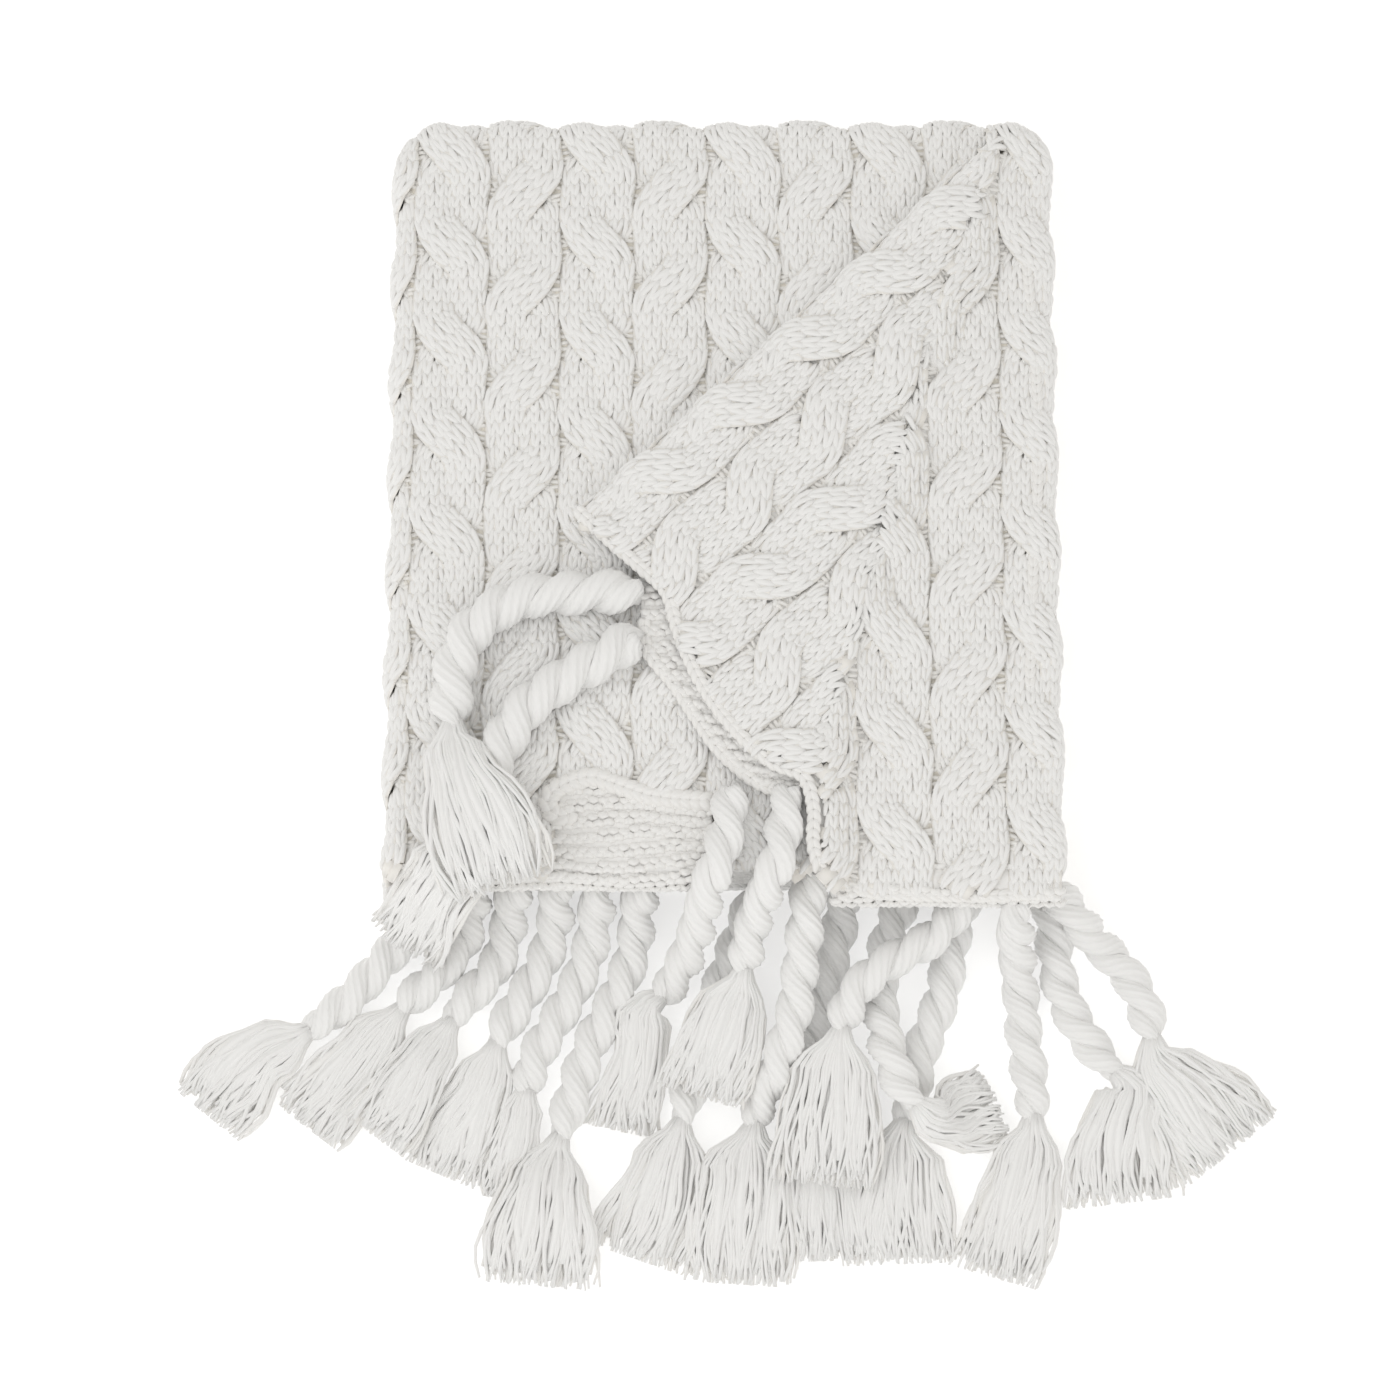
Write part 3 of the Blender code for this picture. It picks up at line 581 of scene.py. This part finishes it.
def purl_rows(x1, x2, y1, y2, pitch=0.0066, spacing=0.0046, stations=5):
    """Rows of purl bumps: short arcs of yarn, each row set half a stitch from the last."""
    s = np.linspace(-1, 1, stations)
    parts = []
    for number, y in enumerate(np.arange(y1, y2, spacing)):
        x = np.arange(x1, x2, pitch)[:, None] + pitch * 0.5 * (number % 2)
        x = x + (chance.random(x.shape) - 0.5) * 0.0012
        wave = 0.0026 * np.sin(x * 52 + number * 0.35) + (chance.random(x.shape) - 0.5) * 0.0018
        across = x + s[None] * pitch * 0.56
        up = y + wave + 0.0011 * (1 - 2 * s[None] ** 2) * (-1) ** number + 0 * x
        height = 0.0012 * (1 - 2.6 * s[None] ** 2) + 0.0005 * chance.random(x.shape)
        radius = np.broadcast_to(0.00245 * (1 - 0.42 * np.abs(s[None]) ** 2.4), across.shape)
        # Painted shade, more at the ends of each bump where it dips under.
        parts.append([across, up, height + 0 * across, radius + 0 * across,
                      0.05 + 0.15 * s[None] ** 2 + 0 * across])
    return join(parts)


def read_curve(points, gap):
    """Points at even spacing along a smooth curve through the given ones."""
    points = np.array(points, float)
    steps = np.concatenate([[0], np.cumsum(np.linalg.norm(np.diff(points, axis=0), axis=1) ** 0.5)])
    slopes = np.gradient(points, steps, axis=0)
    fine = np.linspace(0, steps[-1], 40 * len(points))
    i = np.clip(np.searchsorted(steps, fine, side="right") - 1, 0, len(points) - 2)
    h = steps[i + 1] - steps[i]
    u = (fine - steps[i]) / h
    u, h = u[:, None], h[:, None]
    curve = ((2 * u ** 3 - 3 * u ** 2 + 1) * points[i] + (u ** 3 - 2 * u ** 2 + u) * h * slopes[i]
             + (3 * u ** 2 - 2 * u ** 3) * points[i + 1] + (u ** 3 - u ** 2) * h * slopes[i + 1])
    run = np.concatenate([[0], np.cumsum(np.linalg.norm(np.diff(curve[:, :3], axis=0), axis=1))])
    count = max(4, round(run[-1] / gap))
    even = np.linspace(0, run[-1], count)
    return np.stack([np.interp(even, run, curve[:, k]) for k in range(curve.shape[1])], -1), run[-1]


def chain_edge(route, width, pitch=0.0062, stations=5):
    """A cast-off edge: a row of slanted pairs of legs along a route of (x, y, z)."""
    curve, length = read_curve(route, 0.001)
    run = np.linspace(0, length, len(curve))
    count = int(length / pitch)
    s = np.linspace(-1, 1, stations)
    middle = (np.arange(count) + 0.5) * pitch
    parts, faces = [], []
    for side in (-1, 1):
        at = np.clip(middle[:, None] + s[None] * pitch * 0.72, 0, length)
        spot = np.stack([np.interp(at, run, curve[:, k]) for k in range(3)], -1)
        ahead = unit(np.stack([np.interp(at, run, np.gradient(curve[:, k])) for k in range(3)], -1))
        across = unit(np.cross(ahead, (0.0, 0.0, 1.0)))
        swing = side * width * (0.23 + 0.16 * s)
        lift = -0.35 * width * np.abs(swing / width) * 1.2 - 0.0006 * s
        spot = spot + across * swing[None, :, None] + np.array((0, 0, 1.0)) * lift[None, :, None]
        parts.append(spot)
        faces.append(np.broadcast_to((0.0, 0.0, 1.0), spot.shape))
    spots = np.concatenate(parts)
    radius = np.broadcast_to(width * 0.30 * (1 - 0.55 * np.abs(s) ** 3), spots.shape[:2])
    return spots, radius * (0.95 + 0.1 * chance.random((len(spots), 1))), np.concatenate(faces)


# ---------------------------------------------------------------- the folded panel

def loops_mesh(name, sections, material):
    """Close a row of equal rings of points into one solid, or several side by side."""
    points, quads, caps = [], [], []
    base = 0
    for rings in sections:
        rings = np.asarray(rings)
        rows, sides = rings.shape[:2]
        index = base + np.arange(rows * sides).reshape(rows, sides)
        after = np.roll(index, -1, axis=1)
        quads.append(np.stack([index[:-1], after[:-1], after[1:], index[1:]], -1).reshape(-1, 4))
        caps.append(index[0][::-1])
        caps.append(index[-1])
        points.append(rings.reshape(-1, 3))
        base += rows * sides
    faces = [np.concatenate(quads)] + [np.array([cap]) for cap in caps]
    return lay_mesh(name, np.concatenate(points), faces, material, "throw")


def serpentine(bottom, y):
    """Cross-section of a third, three layers folded back and forth, at one place along it."""
    inset = 0.0050
    corner = FOLD_CORNER - inset
    beyond = max(0.0, y - (BACK_Y - FOLD_CORNER))
    inset += corner - math.sqrt(max(corner ** 2 - beyond ** 2, 0.0))
    layer = (THIRD - 0.0045) / 3
    left, right = LEFT + inset, RIGHT - inset

    def fold(x, way, middle):
        turns = [math.pi * k / 8 - math.pi / 2 for k in range(1, 8)]
        return [(x + way * layer * 0.62 * math.cos(a), middle + layer * 0.5 * math.sin(a))
                for a in turns]

    line = [(left, bottom + layer / 2), (right - layer, bottom + layer / 2)]
    line += fold(right - layer, 1, bottom + layer)
    line += [(right - layer, bottom + 1.5 * layer), (left + layer, bottom + 1.5 * layer)]
    line += fold(left + layer, -1, bottom + 2 * layer)
    line += [(left + layer, bottom + 2.5 * layer), (right, bottom + 2.5 * layer)]
    line = np.array(line)
    ahead = unit(np.gradient(line, axis=0))
    across = np.stack([-ahead[:, 1], ahead[:, 0]], -1) * layer * 0.36
    ring = np.concatenate([line - across, (line + across)[::-1]])
    return [(px, y, pz) for px, pz in ring]


def folded_panel():
    sections = []
    ends = np.concatenate([np.linspace(HEM_Y + 0.002, BACK_Y - FOLD_CORNER, 12),
                           BACK_Y - FOLD_CORNER + (FOLD_CORNER - 0.0055)
                           * np.sin(np.linspace(0.2, 1.5, 8))])
    for level in range(3):
        bottom = level * (THIRD + GAP)
        sections.append([serpentine(bottom, y) for y in ends])
    return loops_mesh("knit_panel", sections, PANEL_BACK)


def fold_wraps():
    """The outer turn of cloth round each third, just inside the stitches."""
    sections = []
    half = THIRD / 2 - 0.0026
    for level in range(3):
        middle = level * (THIRD + GAP) + THIRD / 2 - (0.0016 if level == 2 else 0.0)
        rings = []
        for degrees in (-80, -50, -25, 0, 25, 50, 80):
            a = math.radians(degrees)
            inset = 0.0034 + half * (1 - math.cos(a))
            radius = FOLD_CORNER - 0.004
            x0, x1, y1 = LEFT + inset, RIGHT - inset, BACK_Y - inset
            ring = [(x0, HEM_Y + 0.006), (x1, HEM_Y + 0.006)]
            for centre, first in ((x1 - radius, 0.0), (x0 + radius, math.pi / 2)):
                for k in range(7):
                    b = first + math.pi / 2 * k / 6
                    ring.append((centre + radius * math.cos(b), y1 - radius + radius * math.sin(b)))
            rings.append([(x, y, middle + half * math.sin(a)) for x, y in ring])
        sections.append(rings)
    return loops_mesh("fold_wraps", sections, PANEL_BACK)


def plateau(name, outline, top, bottom):
    """A panel layer over an outline, on a fine grid, with its top following a height rule."""
    cell = 0.004
    xs = np.arange(min(p[0] for p in outline), max(p[0] for p in outline) + cell, cell)
    ys = np.arange(min(p[1] for p in outline), max(p[1] for p in outline) + cell, cell)
    gx, gy = np.meshgrid(xs, ys, indexing="ij")
    full = inside(gx[:-1, :-1] + cell / 2, gy[:-1, :-1] + cell / 2, outline)
    count = gx.size
    high = np.stack([gx, gy, top(gx, gy)], -1).reshape(-1, 3)
    low = np.stack([gx, gy, bottom(gx, gy)], -1).reshape(-1, 3)
    index = np.arange(count).reshape(gx.shape)
    a, b, c, d = index[:-1, :-1], index[1:, :-1], index[1:, 1:], index[:-1, 1:]
    faces = [np.stack([a, b, c, d], -1)[full], np.stack([d, c, b, a], -1)[full] + count]
    padded = np.pad(full, 1)
    for dx, dy, p, q in ((0, -1, a, b), (1, 0, b, c), (0, 1, c, d), (-1, 0, d, a)):
        beside = padded[1 + dx:padded.shape[0] - 1 + dx, 1 + dy:padded.shape[1] - 1 + dy]
        wall = full & ~beside
        faces.append(np.stack([q, p, p + count, q + count], -1)[wall])
    faces = np.concatenate(faces)
    points = np.concatenate([high, low])
    used, packed = np.unique(faces, return_inverse=True)
    return lay_mesh(name, points[used], [packed.reshape(-1, 4)], HEM, "throw")


# ---------------------------------------------------------------- knitted faces

GARTER = [(-0.094, -0.067), (-0.084, -0.061), (-0.070, -0.057), (-0.053, -0.062),
          (-0.032, -0.069), (0.008, -0.073), (0.008, -0.150), (-0.094, -0.150)]
RIGHT_BAND = (RIGHT - 0.150, RIGHT - 0.004)
LEFT_BAND = (LEFT + 0.061, LEFT + 0.196)
BAND_ROLL = 0.0086              # radius that a hem band rolls down with
LEFT_ROLL_Y = HEM_Y - 0.001     # where each band starts to roll
RIGHT_ROLL_Y = HEM_Y - 0.0112
HEM_CORD = 0.0086               # widths of the cast-off edges
GARTER_CORD = 0.0124
SELVEDGE_CORD = 0.0070
RIGHT_CORD = 0.0080
LAYER_CORD = 0.0072

corner_outline = laid(UPPER_HEM + RIDGE)
garter_outline = laid(GARTER)
lower_outline = laid([(-0.038, 0.072)] + LOWER_HEM
                     + [(0.076, -0.068), (0.076, -0.045), (0.000, 0.003), (-0.022, 0.062)])


def shrunk(outline, by):
    """An outline moved in towards its own middle."""
    middle = np.mean(outline, axis=0)
    return [tuple(np.array(p) + unit(middle - np.array(p)) * by) for p in outline]


hidden_by_corner = shrunk(corner_outline, 0.012)
short_of_hem = shrunk(corner_outline, 0.009)


def on_face(spot, turn):
    x, y = spot[:, 0], spot[:, 1]
    band = (x > RIGHT_BAND[0]) & (x < RIGHT_BAND[1])
    front = np.where(band, HEM_Y - 0.0125, HEM_Y + 0.003)
    shown = (y > front) & (turn < 2.9)
    shown &= ~inside(x, y, garter_outline)
    left_of_crease = past_ridge(x, y) < -0.004
    under = inside(x, y, hidden_by_corner) | (inside(x, y, corner_outline) & left_of_crease
                                              & (past_ridge(x, y) > -0.03))
    return shown & ~under


def on_rim(spot, turn):
    return (turn > 0.30) & (turn < 2.75) & (spot[:, 2] > 0.0016)


def on_corner(spot, turn):
    x, y = spot[:, 0], spot[:, 1]
    ahead = (spot[:, :2] - CORNER_START) @ ALONG
    rolled = (turn > 0) & (turn < 2.7) & (ahead > 0.002) & (ahead < 0.384)
    return (inside(x, y, corner_outline) | rolled) & (past_ridge(x, y) < 0.004)


def well_on_corner(spot, turn):
    """The corner, but stopping short of its hem."""
    return on_corner(spot, turn) & ((turn > 0) | inside(spot[:, 0], spot[:, 1], short_of_hem))


face_parts = []
rows = math.ceil((BACK_Y - HEM_Y + 0.06) / ROW)
start = HEM_Y - 0.016
phases = {True: Y0 + 0.1707, False: Y0 + 0.1421}
for level in (2, 1, 0):
    place = third_face(level)
    batches = [(0, 3), (3, 6), (6, 10)] if level == 2 else [(0, 10)]
    for first, last in batches:
        legs, cores = [], []
        for k in range(first, last):
            edge = FIRST_COLUMN + (k - 1) * COLUMN
            odd = k % 2 == 1
            stations = 5 if level == 2 else 4
            legs.append(cable_legs(edge, start, rows, -1 if odd else 1, phases[odd], stations))
            legs.append(rungs(edge, start, rows, stations))
            cores.append(cable_legs(edge, start, rows, -1 if odd else 1, phases[odd], core=True))
        name = f"cables_{level + 1}_{first + 1}"
        keep = on_face if level == 2 else on_rim
        face_parts.append(knit_piece(name, join(legs), place, keep))
        face_parts.append(knit_piece(f"wales_{level + 1}_{first + 1}", join(cores), place, keep,
                                     flat=0.27))

legs, cores = [], []
corner_rows = 60
corner_start = -0.070
for k in range(6):
    edge = 0.004 - k * COLUMN
    leans = 1 if k % 2 == 0 else -1
    crossing = 0.058 if k % 2 else 0.090
    legs.append(cable_legs(edge, corner_start, corner_rows, leans, crossing))
    legs.append(rungs(edge, corner_start, corner_rows))
    cores.append(cable_legs(edge, corner_start, corner_rows, leans, crossing, core=True))
face_parts.append(knit_piece("corner_cables", join(legs), corner_face, on_corner))
face_parts.append(knit_piece("corner_wales", join(cores), corner_face, well_on_corner,
                             flat=0.27))

# The panel and the two layers of the turned corner, behind the stitches
panel = folded_panel()


def shifted_ridge(by):
    return [(min(x + by, RIGHT - 0.012), y) for x, y in laid(RIDGE)]


inner_hem = shrunk(corner_outline, 0.009)[:len(UPPER_HEM)]


def level_at(height):
    return lambda x, y: TOP_Z + height + 0 * x


upper_panel = plateau("corner_panel", inner_hem + shifted_ridge(0.034),
                      lambda x, y: TOP_Z + rise(x, y) - 0.0046,
                      lambda x, y: TOP_Z + rise(x, y) - 0.0086)
lower_panel = plateau("corner_under_panel", lower_outline, level_at(0.0070), level_at(-0.003))
garter_inner = shrunk(laid(GARTER[:6] + [(0.008, -0.119), (-0.094, -0.119)]), 0.002)
garter_panel = plateau("garter_panel", garter_inner, level_at(-0.0010), level_at(-0.0070))
face_parts += [upper_panel, lower_panel, garter_panel, fold_wraps()]


def edge_piece(name, routes):
    spots, radii, faces = [np.concatenate(a) for a in zip(*(chain_edge(*r) for r in routes))]
    # Painted shade that grows along each leg towards its lower end.
    spine = np.linspace(0, 0.3, spots.shape[1])
    return strand_piece(name, spots, radii, faces, HEM, "throw",
                        crevice_shade=np.broadcast_to(spine, radii.shape))


def level_route(points, height):
    return [(x, y, height(x, y)) for x, y in laid(points)]


hem_parts = [
    edge_piece("corner_hem_edge", [
        (level_route(UPPER_HEM, lambda x, y: TOP_Z + rise(x, y) - 0.0006), HEM_CORD)]),
    edge_piece("corner_under_hem_edge", [
        (level_route(LOWER_HEM, lambda x, y: TOP_Z + 0.0078), HEM_CORD)]),
    edge_piece("garter_top_edge", [
        (level_route([(-0.080, -0.080), (-0.090, -0.083), (-0.097, -0.076)] + GARTER[:6],
                     lambda x, y: TOP_Z + 0.0024), GARTER_CORD)]),
    edge_piece("side_selvedge", [
        ([(RIGHT + x, HEM_Y + y, TOP_Z + 0.0008) for x, y in (
            (-0.020, 0.120), (-0.016, 0.204), (-0.012, 0.262), (-0.012, 0.330), (-0.016, 0.395),
            (-0.018, 0.430))], SELVEDGE_CORD)]),
]


def band_face(edge):
    """Carry garter over the front of the stack: flat to the edge, then rolled down."""
    def place(x, y, height):
        past = np.maximum(edge - y, 0)
        turn = past / BAND_ROLL
        reach = (BAND_ROLL + height) * np.sin(turn)
        spot = np.stack([x, np.maximum(y, edge) - reach,
                         TOP_Z - 0.001 - BAND_ROLL + (BAND_ROLL + height) * np.cos(turn)], -1)
        face = np.stack([0 * turn, -np.sin(turn), np.cos(turn)], -1)
        return spot, face, turn
    return place


def hem_piece(name, rows, place, keep):
    return knit_piece(name, rows, place, keep, material=HEM)


def in_garter(spot, turn):
    return inside(spot[:, 0], spot[:, 1], garter_outline) & (turn < 2.6)


hem_parts.append(hem_piece(
    "garter_hem", purl_rows(X0 - 0.098, X0 + 0.010, HEM_Y - 0.026, Y0 - 0.054),
    band_face(LEFT_ROLL_Y), in_garter))
hem_parts.append(hem_piece(
    "left_hem_roll", purl_rows(LEFT_BAND[0], X0 - 0.092, HEM_Y - 0.026, HEM_Y + 0.004),
    band_face(LEFT_ROLL_Y), lambda spot, turn: turn < 2.6))
hem_parts.append(hem_piece(
    "right_hem_roll",
    purl_rows(RIGHT_BAND[0] + 0.005, RIGHT_BAND[1], HEM_Y - 0.0375, HEM_Y - 0.0108),
    band_face(RIGHT_ROLL_Y), lambda spot, turn: turn < 2.7))
hem_parts.append(edge_piece("right_hem_edge", [
    ([(RIGHT_BAND[0] + 0.004, HEM_Y - 0.0085, TOP_Z - 0.001),
      (RIGHT_BAND[0] + 0.030, HEM_Y - 0.0145, TOP_Z - 0.0015),
      (RIGHT_BAND[0] + 0.080, HEM_Y - 0.0165, TOP_Z - 0.0020),
      (RIGHT_BAND[1], HEM_Y - 0.0150, TOP_Z - 0.0020)], RIGHT_CORD)]))


def under_strip(spot, turn):
    return inside(spot[:, 0], spot[:, 1], lower_outline)


def under_face(x, y, height):
    spot = np.stack([x, y, TOP_Z + 0.0072 + height], -1)
    return spot, np.broadcast_to((0.0, 0.0, 1.0), spot.shape), 0 * x


hem_parts.append(hem_piece(
    "corner_under_garter", purl_rows(X0 - 0.045, X0 + 0.065, Y0 - 0.075, Y0 + 0.065),
    under_face, under_strip))


def layer_edges():
    """The cast-off edges of the stack's nine layers, one over another at the front."""
    spots, radii, faces = [], [], []
    for level in range(3):
        for layer in range(3):
            z = level * (THIRD + GAP) + 0.0046 + layer * 0.0077
            side = 0.010 + 0.002 * ((level + layer) % 2)
            s, r, _ = chain_edge([(LEFT + side, HEM_Y + 0.0035, z), (X0, HEM_Y + 0.003, z),
                                  (X0 + 0.1, HEM_Y + 0.0032, z), (RIGHT - side, HEM_Y + 0.003, z)],
                                 LAYER_CORD, stations=4)
            drop = s[..., 1] - (HEM_Y + 0.003)
            s = np.stack([s[..., 0], HEM_Y + 0.0022 + 0.25 * drop, z + drop * 1.1], -1)
            spots.append(s)
            radii.append(r)
            faces.append(np.broadcast_to((0.0, -1.0, 0.0), s.shape))
    spots, radii, faces = (np.concatenate(a) for a in (spots, radii, faces))
    return strand_piece("front_layer_edges", spots, radii, faces, HEM, "throw")


hem_parts.append(layer_edges())


def hem_core(name, x1, x2, edge):
    """The rolled band under a hem's stitches, from inside the stack to the roll's front."""
    front, back = edge - BAND_ROLL + 0.0010, HEM_Y + 0.0040
    rings = []
    for x, share in ((x1 + 0.001, 0.6), (x1 + 0.004, 1.0), (x2 - 0.004, 1.0), (x2 - 0.001, 0.6)):
        ring = []
        for k in range(20):
            a = 2 * math.pi * k / 20
            across = math.copysign(abs(math.cos(a)) ** 0.8, math.cos(a))
            upward = math.copysign(abs(math.sin(a)) ** 0.8, math.sin(a))
            ring.append((x, (front + back) / 2 + (back - front) / 2 * share * across,
                         TOP_Z - 0.0096 + 0.0076 * share * upward))
        rings.append(ring)
    return loops_mesh(name, [rings], HEM)


hem_parts.append(hem_core("left_hem_core", *LEFT_BAND, LEFT_ROLL_Y))
hem_parts.append(hem_core("right_hem_core", *RIGHT_BAND, RIGHT_ROLL_Y))

# ---------------------------------------------------------------- fringe

RIGHT_HEM_DEPTH = 0.0200
SEATS = {"stack": HEM_Y, "right_hem": HEM_Y - RIGHT_HEM_DEPTH - GAP,
         "corner_tip": HEM_Y + CORNER_TIP_UP}
SIDE_HEM = LEFT + CORNER_SIDE_IN
FREE = (1, 9, 10, 12, 17, 18)
TWIST = 0.049                   # one whole turn of the two plies
PLY_SIDES = 48
PLY_OUT = 0.43                  # middle of a ply from the rope's, in rope radii
PLY_SIZE = 0.615                # radius of a ply, in rope radii
RIBS = 10                       # yarns round a ply
RIB_DEPTH = 0.070
UP = np.array((0.0, 0.0, 1.0))
TASSEL_STRANDS = 190
CORE_STRANDS = 20               # of those, thicker ones that fill the tassel's middle
# How much wider than its solid a tassel's loose yarns fall
USUAL_FULLNESS = 1.16
FULLNESS = {8: 1.25, **dict.fromkeys(range(11, 17), 1.36), 18: 1.40, 19: 1.50}


def rope_route(side, seat, radius, route):
    """A rope's points in metres, starting square to its hem."""
    side_x = LEFT if side == "left" else RIGHT
    points = [(side_x + x * MM, HEM_Y + y * MM, share * (TOP_Z + GAP) + radii * radius)
              for x, y, share, radii in route]
    x, y, z = points[0]
    if seat == "corner_side":
        return [(SIDE_HEM, y, z), (SIDE_HEM - 0.006, y, z)] + points[1:]
    return [(x, SEATS[seat], z), (x, SEATS[seat] - 0.006, z)] + points[1:]


def body_of(number):
    return f"fringe_{number:02d}" if number in FREE else "throw"


def rope_piece(number, path, radius):
    run = np.concatenate([[0], np.cumsum(np.linalg.norm(np.diff(path, axis=0), axis=1))])
    ahead = unit(np.gradient(path, axis=0))
    side = unit(np.cross(ahead, UP))
    up = np.cross(side, ahead)
    root = 0.66 + 0.34 * step(run / 0.012)
    neck = 0.42 + 0.58 * step((run[-1] - run) / 0.018)
    size = radius * root * neck
    plies, normals = [], []
    for ply in range(2):
        a = 2 * math.pi * run / TWIST + math.pi * ply + number * 0.9
        out = side * np.cos(a)[:, None] + up * np.sin(a)[:, None]
        plies.append(path + out * (size * PLY_OUT)[:, None])
        normals.append(out)
    radii = np.stack([size * PLY_SIZE] * 2)

    def ribs(angles):
        turn = RIBS * angles[None, None, :] + (run * 170)[None, :, None]
        return 1 + RIB_DEPTH * np.cos(turn) + 0.03 * np.cos(3 * angles + run[:, None] * 60)[None]

    return strand_piece(f"rope_{number:02d}", np.stack(plies), radii, np.stack(normals), ROPE,
                        body_of(number), sides=PLY_SIDES, ribs=ribs)


def tassel_piece(number, path, side, stations, strands=TASSEL_STRANDS):
    side_x = LEFT if side == "left" else RIGHT
    centres = [(*path[-3], 0.0042)]
    for x, y, share, above, half in stations:
        centres.append((side_x + x * MM, HEM_Y + y * MM, share * (TOP_Z + GAP) + above * MM,
                        half * MM * FULLNESS.get(number, USUAL_FULLNESS)))
    curve, _ = read_curve(centres, 0.0012)
    share = np.linspace(0, 1, len(curve))
    ahead = unit(np.gradient(curve[:, :3], axis=0))
    across = unit(np.cross(ahead, UP))
    upward = np.cross(across, ahead)
    reach = 0.88 + 0.14 * chance.random(strands)
    reach[:CORE_STRANDS] = 0.84
    at = reach[:, None] * np.linspace(0, 1, 11)[None]
    angle = chance.random(strands) * 2 * math.pi
    spread = np.sqrt(chance.random(strands))
    spread[:CORE_STRANDS] = 0.70 * np.sqrt(spread[:CORE_STRANDS])
    w = spread * np.cos(angle)
    d = spread * np.sin(angle)

    def read(values):
        return np.stack([np.interp(at, share, values[:, k]) for k in range(values.shape[1])], -1)

    half = read(curve[:, 3:4])[..., 0]
    thick = 0.0050 + 0.0036 * np.sin(np.clip(at * 1.5, 0, 1) * math.pi) + 0.0006 * at
    sway = chance.random((2, strands, 1))
    swing = 0.0032 * at * np.sin(at * (5 + 5 * sway[0]) + 7 * sway[1]) * (0.4 + spread[:, None])
    curl = 0.07 * at ** 2 * np.sin(angle * 5)[:, None]
    puff = 1 + 0.95 * np.exp(-((at - 0.18) / 0.12) ** 2)
    paths = (read(curve[:, :3]) + read(across) * ((w[:, None] + curl) * half * puff + swing)[..., None]
             + read(upward) * (d[:, None] * thick)[..., None])
    radii = 0.00140 * (0.75 + 0.5 * chance.random((strands, 1))) * (1 - 0.4 * at ** 8)
    belly = np.sin(np.clip(at[:CORE_STRANDS] * 1.1, 0, 1) * math.pi)
    radii[:CORE_STRANDS] = 0.0011 + 0.0032 * belly
    paths[..., 2] = np.maximum(paths[..., 2], 0.0013)
    # Painted shade: strands lower in the tassel take more of the warm shade colour, and every strand
    # takes some.
    crevice_shade = np.clip(0.25 - d[:, None] * 0.8, 0, 0.4) * np.ones_like(at)
    return strand_piece(f"tassel_{number:02d}", paths, radii, read(upward), CUT,
                        body_of(number), sides=5, crevice_shade=crevice_shade)


fringe_parts = []
for number, side, seat, radius, route, stations in FRINGE:
    path, _ = read_curve(rope_route(side, seat, radius, route), 0.0032)
    rope = rope_piece(number, path, radius)
    tassel = tassel_piece(number, path, side, stations)
    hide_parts(f"fringe_rope_{number:02d}")
    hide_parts(f"fringe_tassel_{number:02d}")
    fringe_parts += [rope, tassel]

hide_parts("bottom_third", "middle_third", "top_third")
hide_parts("turned_corner_upper_layer")
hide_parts("turned_corner_lower_layer")
for piece, node in (("left_hem_core", "left_hem_band"), ("right_hem_core", "right_hem_band"),
                    ("side_selvedge", "right_selvedge")):
    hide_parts(node)

# ---------------------------------------------------------------- studio

FLOOR_HALF = 6                  # half the side of the square floor
FLOOR_GLOW = 0.35
SKY_GLOW = 0.68
SENSOR_WIDTH = 36
FOCAL_SHARE = 4000 / 1400       # focal length over the picture's width


def plain(name, colour, roughness):
    material, start, shader = finish(name, {"Roughness": roughness, "Specular IOR Level": 0.1,
                                            "Emission Color": (1.0, 1.0, 1.0, 1.0),
                                            "Emission Strength": FLOOR_GLOW})
    place = start.node("ShaderNodeTexCoord", out=3)
    grain = start.node("ShaderNodeTexNoise", {}, {"Vector": place, "Scale": 3.0})
    tone = grain.colours((*colour, 1.0), (*(c * 0.995 for c in colour), 1.0))
    start.tree.links.new(tone.socket, shader.inputs["Base Color"])
    return material


floor = bpy.data.objects.new("floor", bpy.data.meshes.new("floor"))
floor.data.from_pydata([(x * FLOOR_HALF, y * FLOOR_HALF, -GAP)
                        for x, y in ((-1, -1), (1, -1), (1, 1), (-1, 1))], [], [(0, 1, 2, 3)])
floor.data.materials.append(plain("pale lit studio floor", (0.92, 0.92, 0.92), 0.9))
bpy.context.scene.collection.objects.link(floor)


def area_light(name, place, target, size, power):
    data = bpy.data.lights.new(name, "AREA")
    data.size = size
    data.energy = power
    data.color = (0.975, 0.985, 1.0)
    light = bpy.data.objects.new(name, data)
    bpy.context.scene.collection.objects.link(light)
    light.location = place
    way = np.array(target) - np.array(place)
    light.rotation_euler = Vector(way).to_track_quat("-Z", "Y").to_euler()


area_light("key", (-1.3, -0.3, 2.4), (0, 0, 0), 2.4, 13)
area_light("fill", (0.4, -2.2, 1.6), (0, -0.2, 0), 2.4, 9)

world = bpy.data.worlds.new("studio")
bpy.context.scene.world = world
world.use_nodes = True
world.node_tree.nodes["Background"].inputs[0].default_value = (1.0, 0.985, 0.955, 1.0)
world.node_tree.nodes["Background"].inputs[1].default_value = SKY_GLOW
bpy.context.scene.view_settings.view_transform = "Standard"

camera = bpy.data.objects.new("camera", bpy.data.cameras.new("camera"))
bpy.context.scene.collection.objects.link(camera)
ELEVATION, DISTANCE = math.radians(77), 2.6
aim = Vector((X0, Y0, 0.05))
camera.location = aim + DISTANCE * Vector((0, -math.cos(ELEVATION), math.sin(ELEVATION)))
camera.rotation_euler = (math.pi / 2 - ELEVATION, 0, 0)
camera.data.sensor_width = SENSOR_WIDTH
camera.data.lens = FOCAL_SHARE * SENSOR_WIDTH
bpy.context.scene.camera = camera
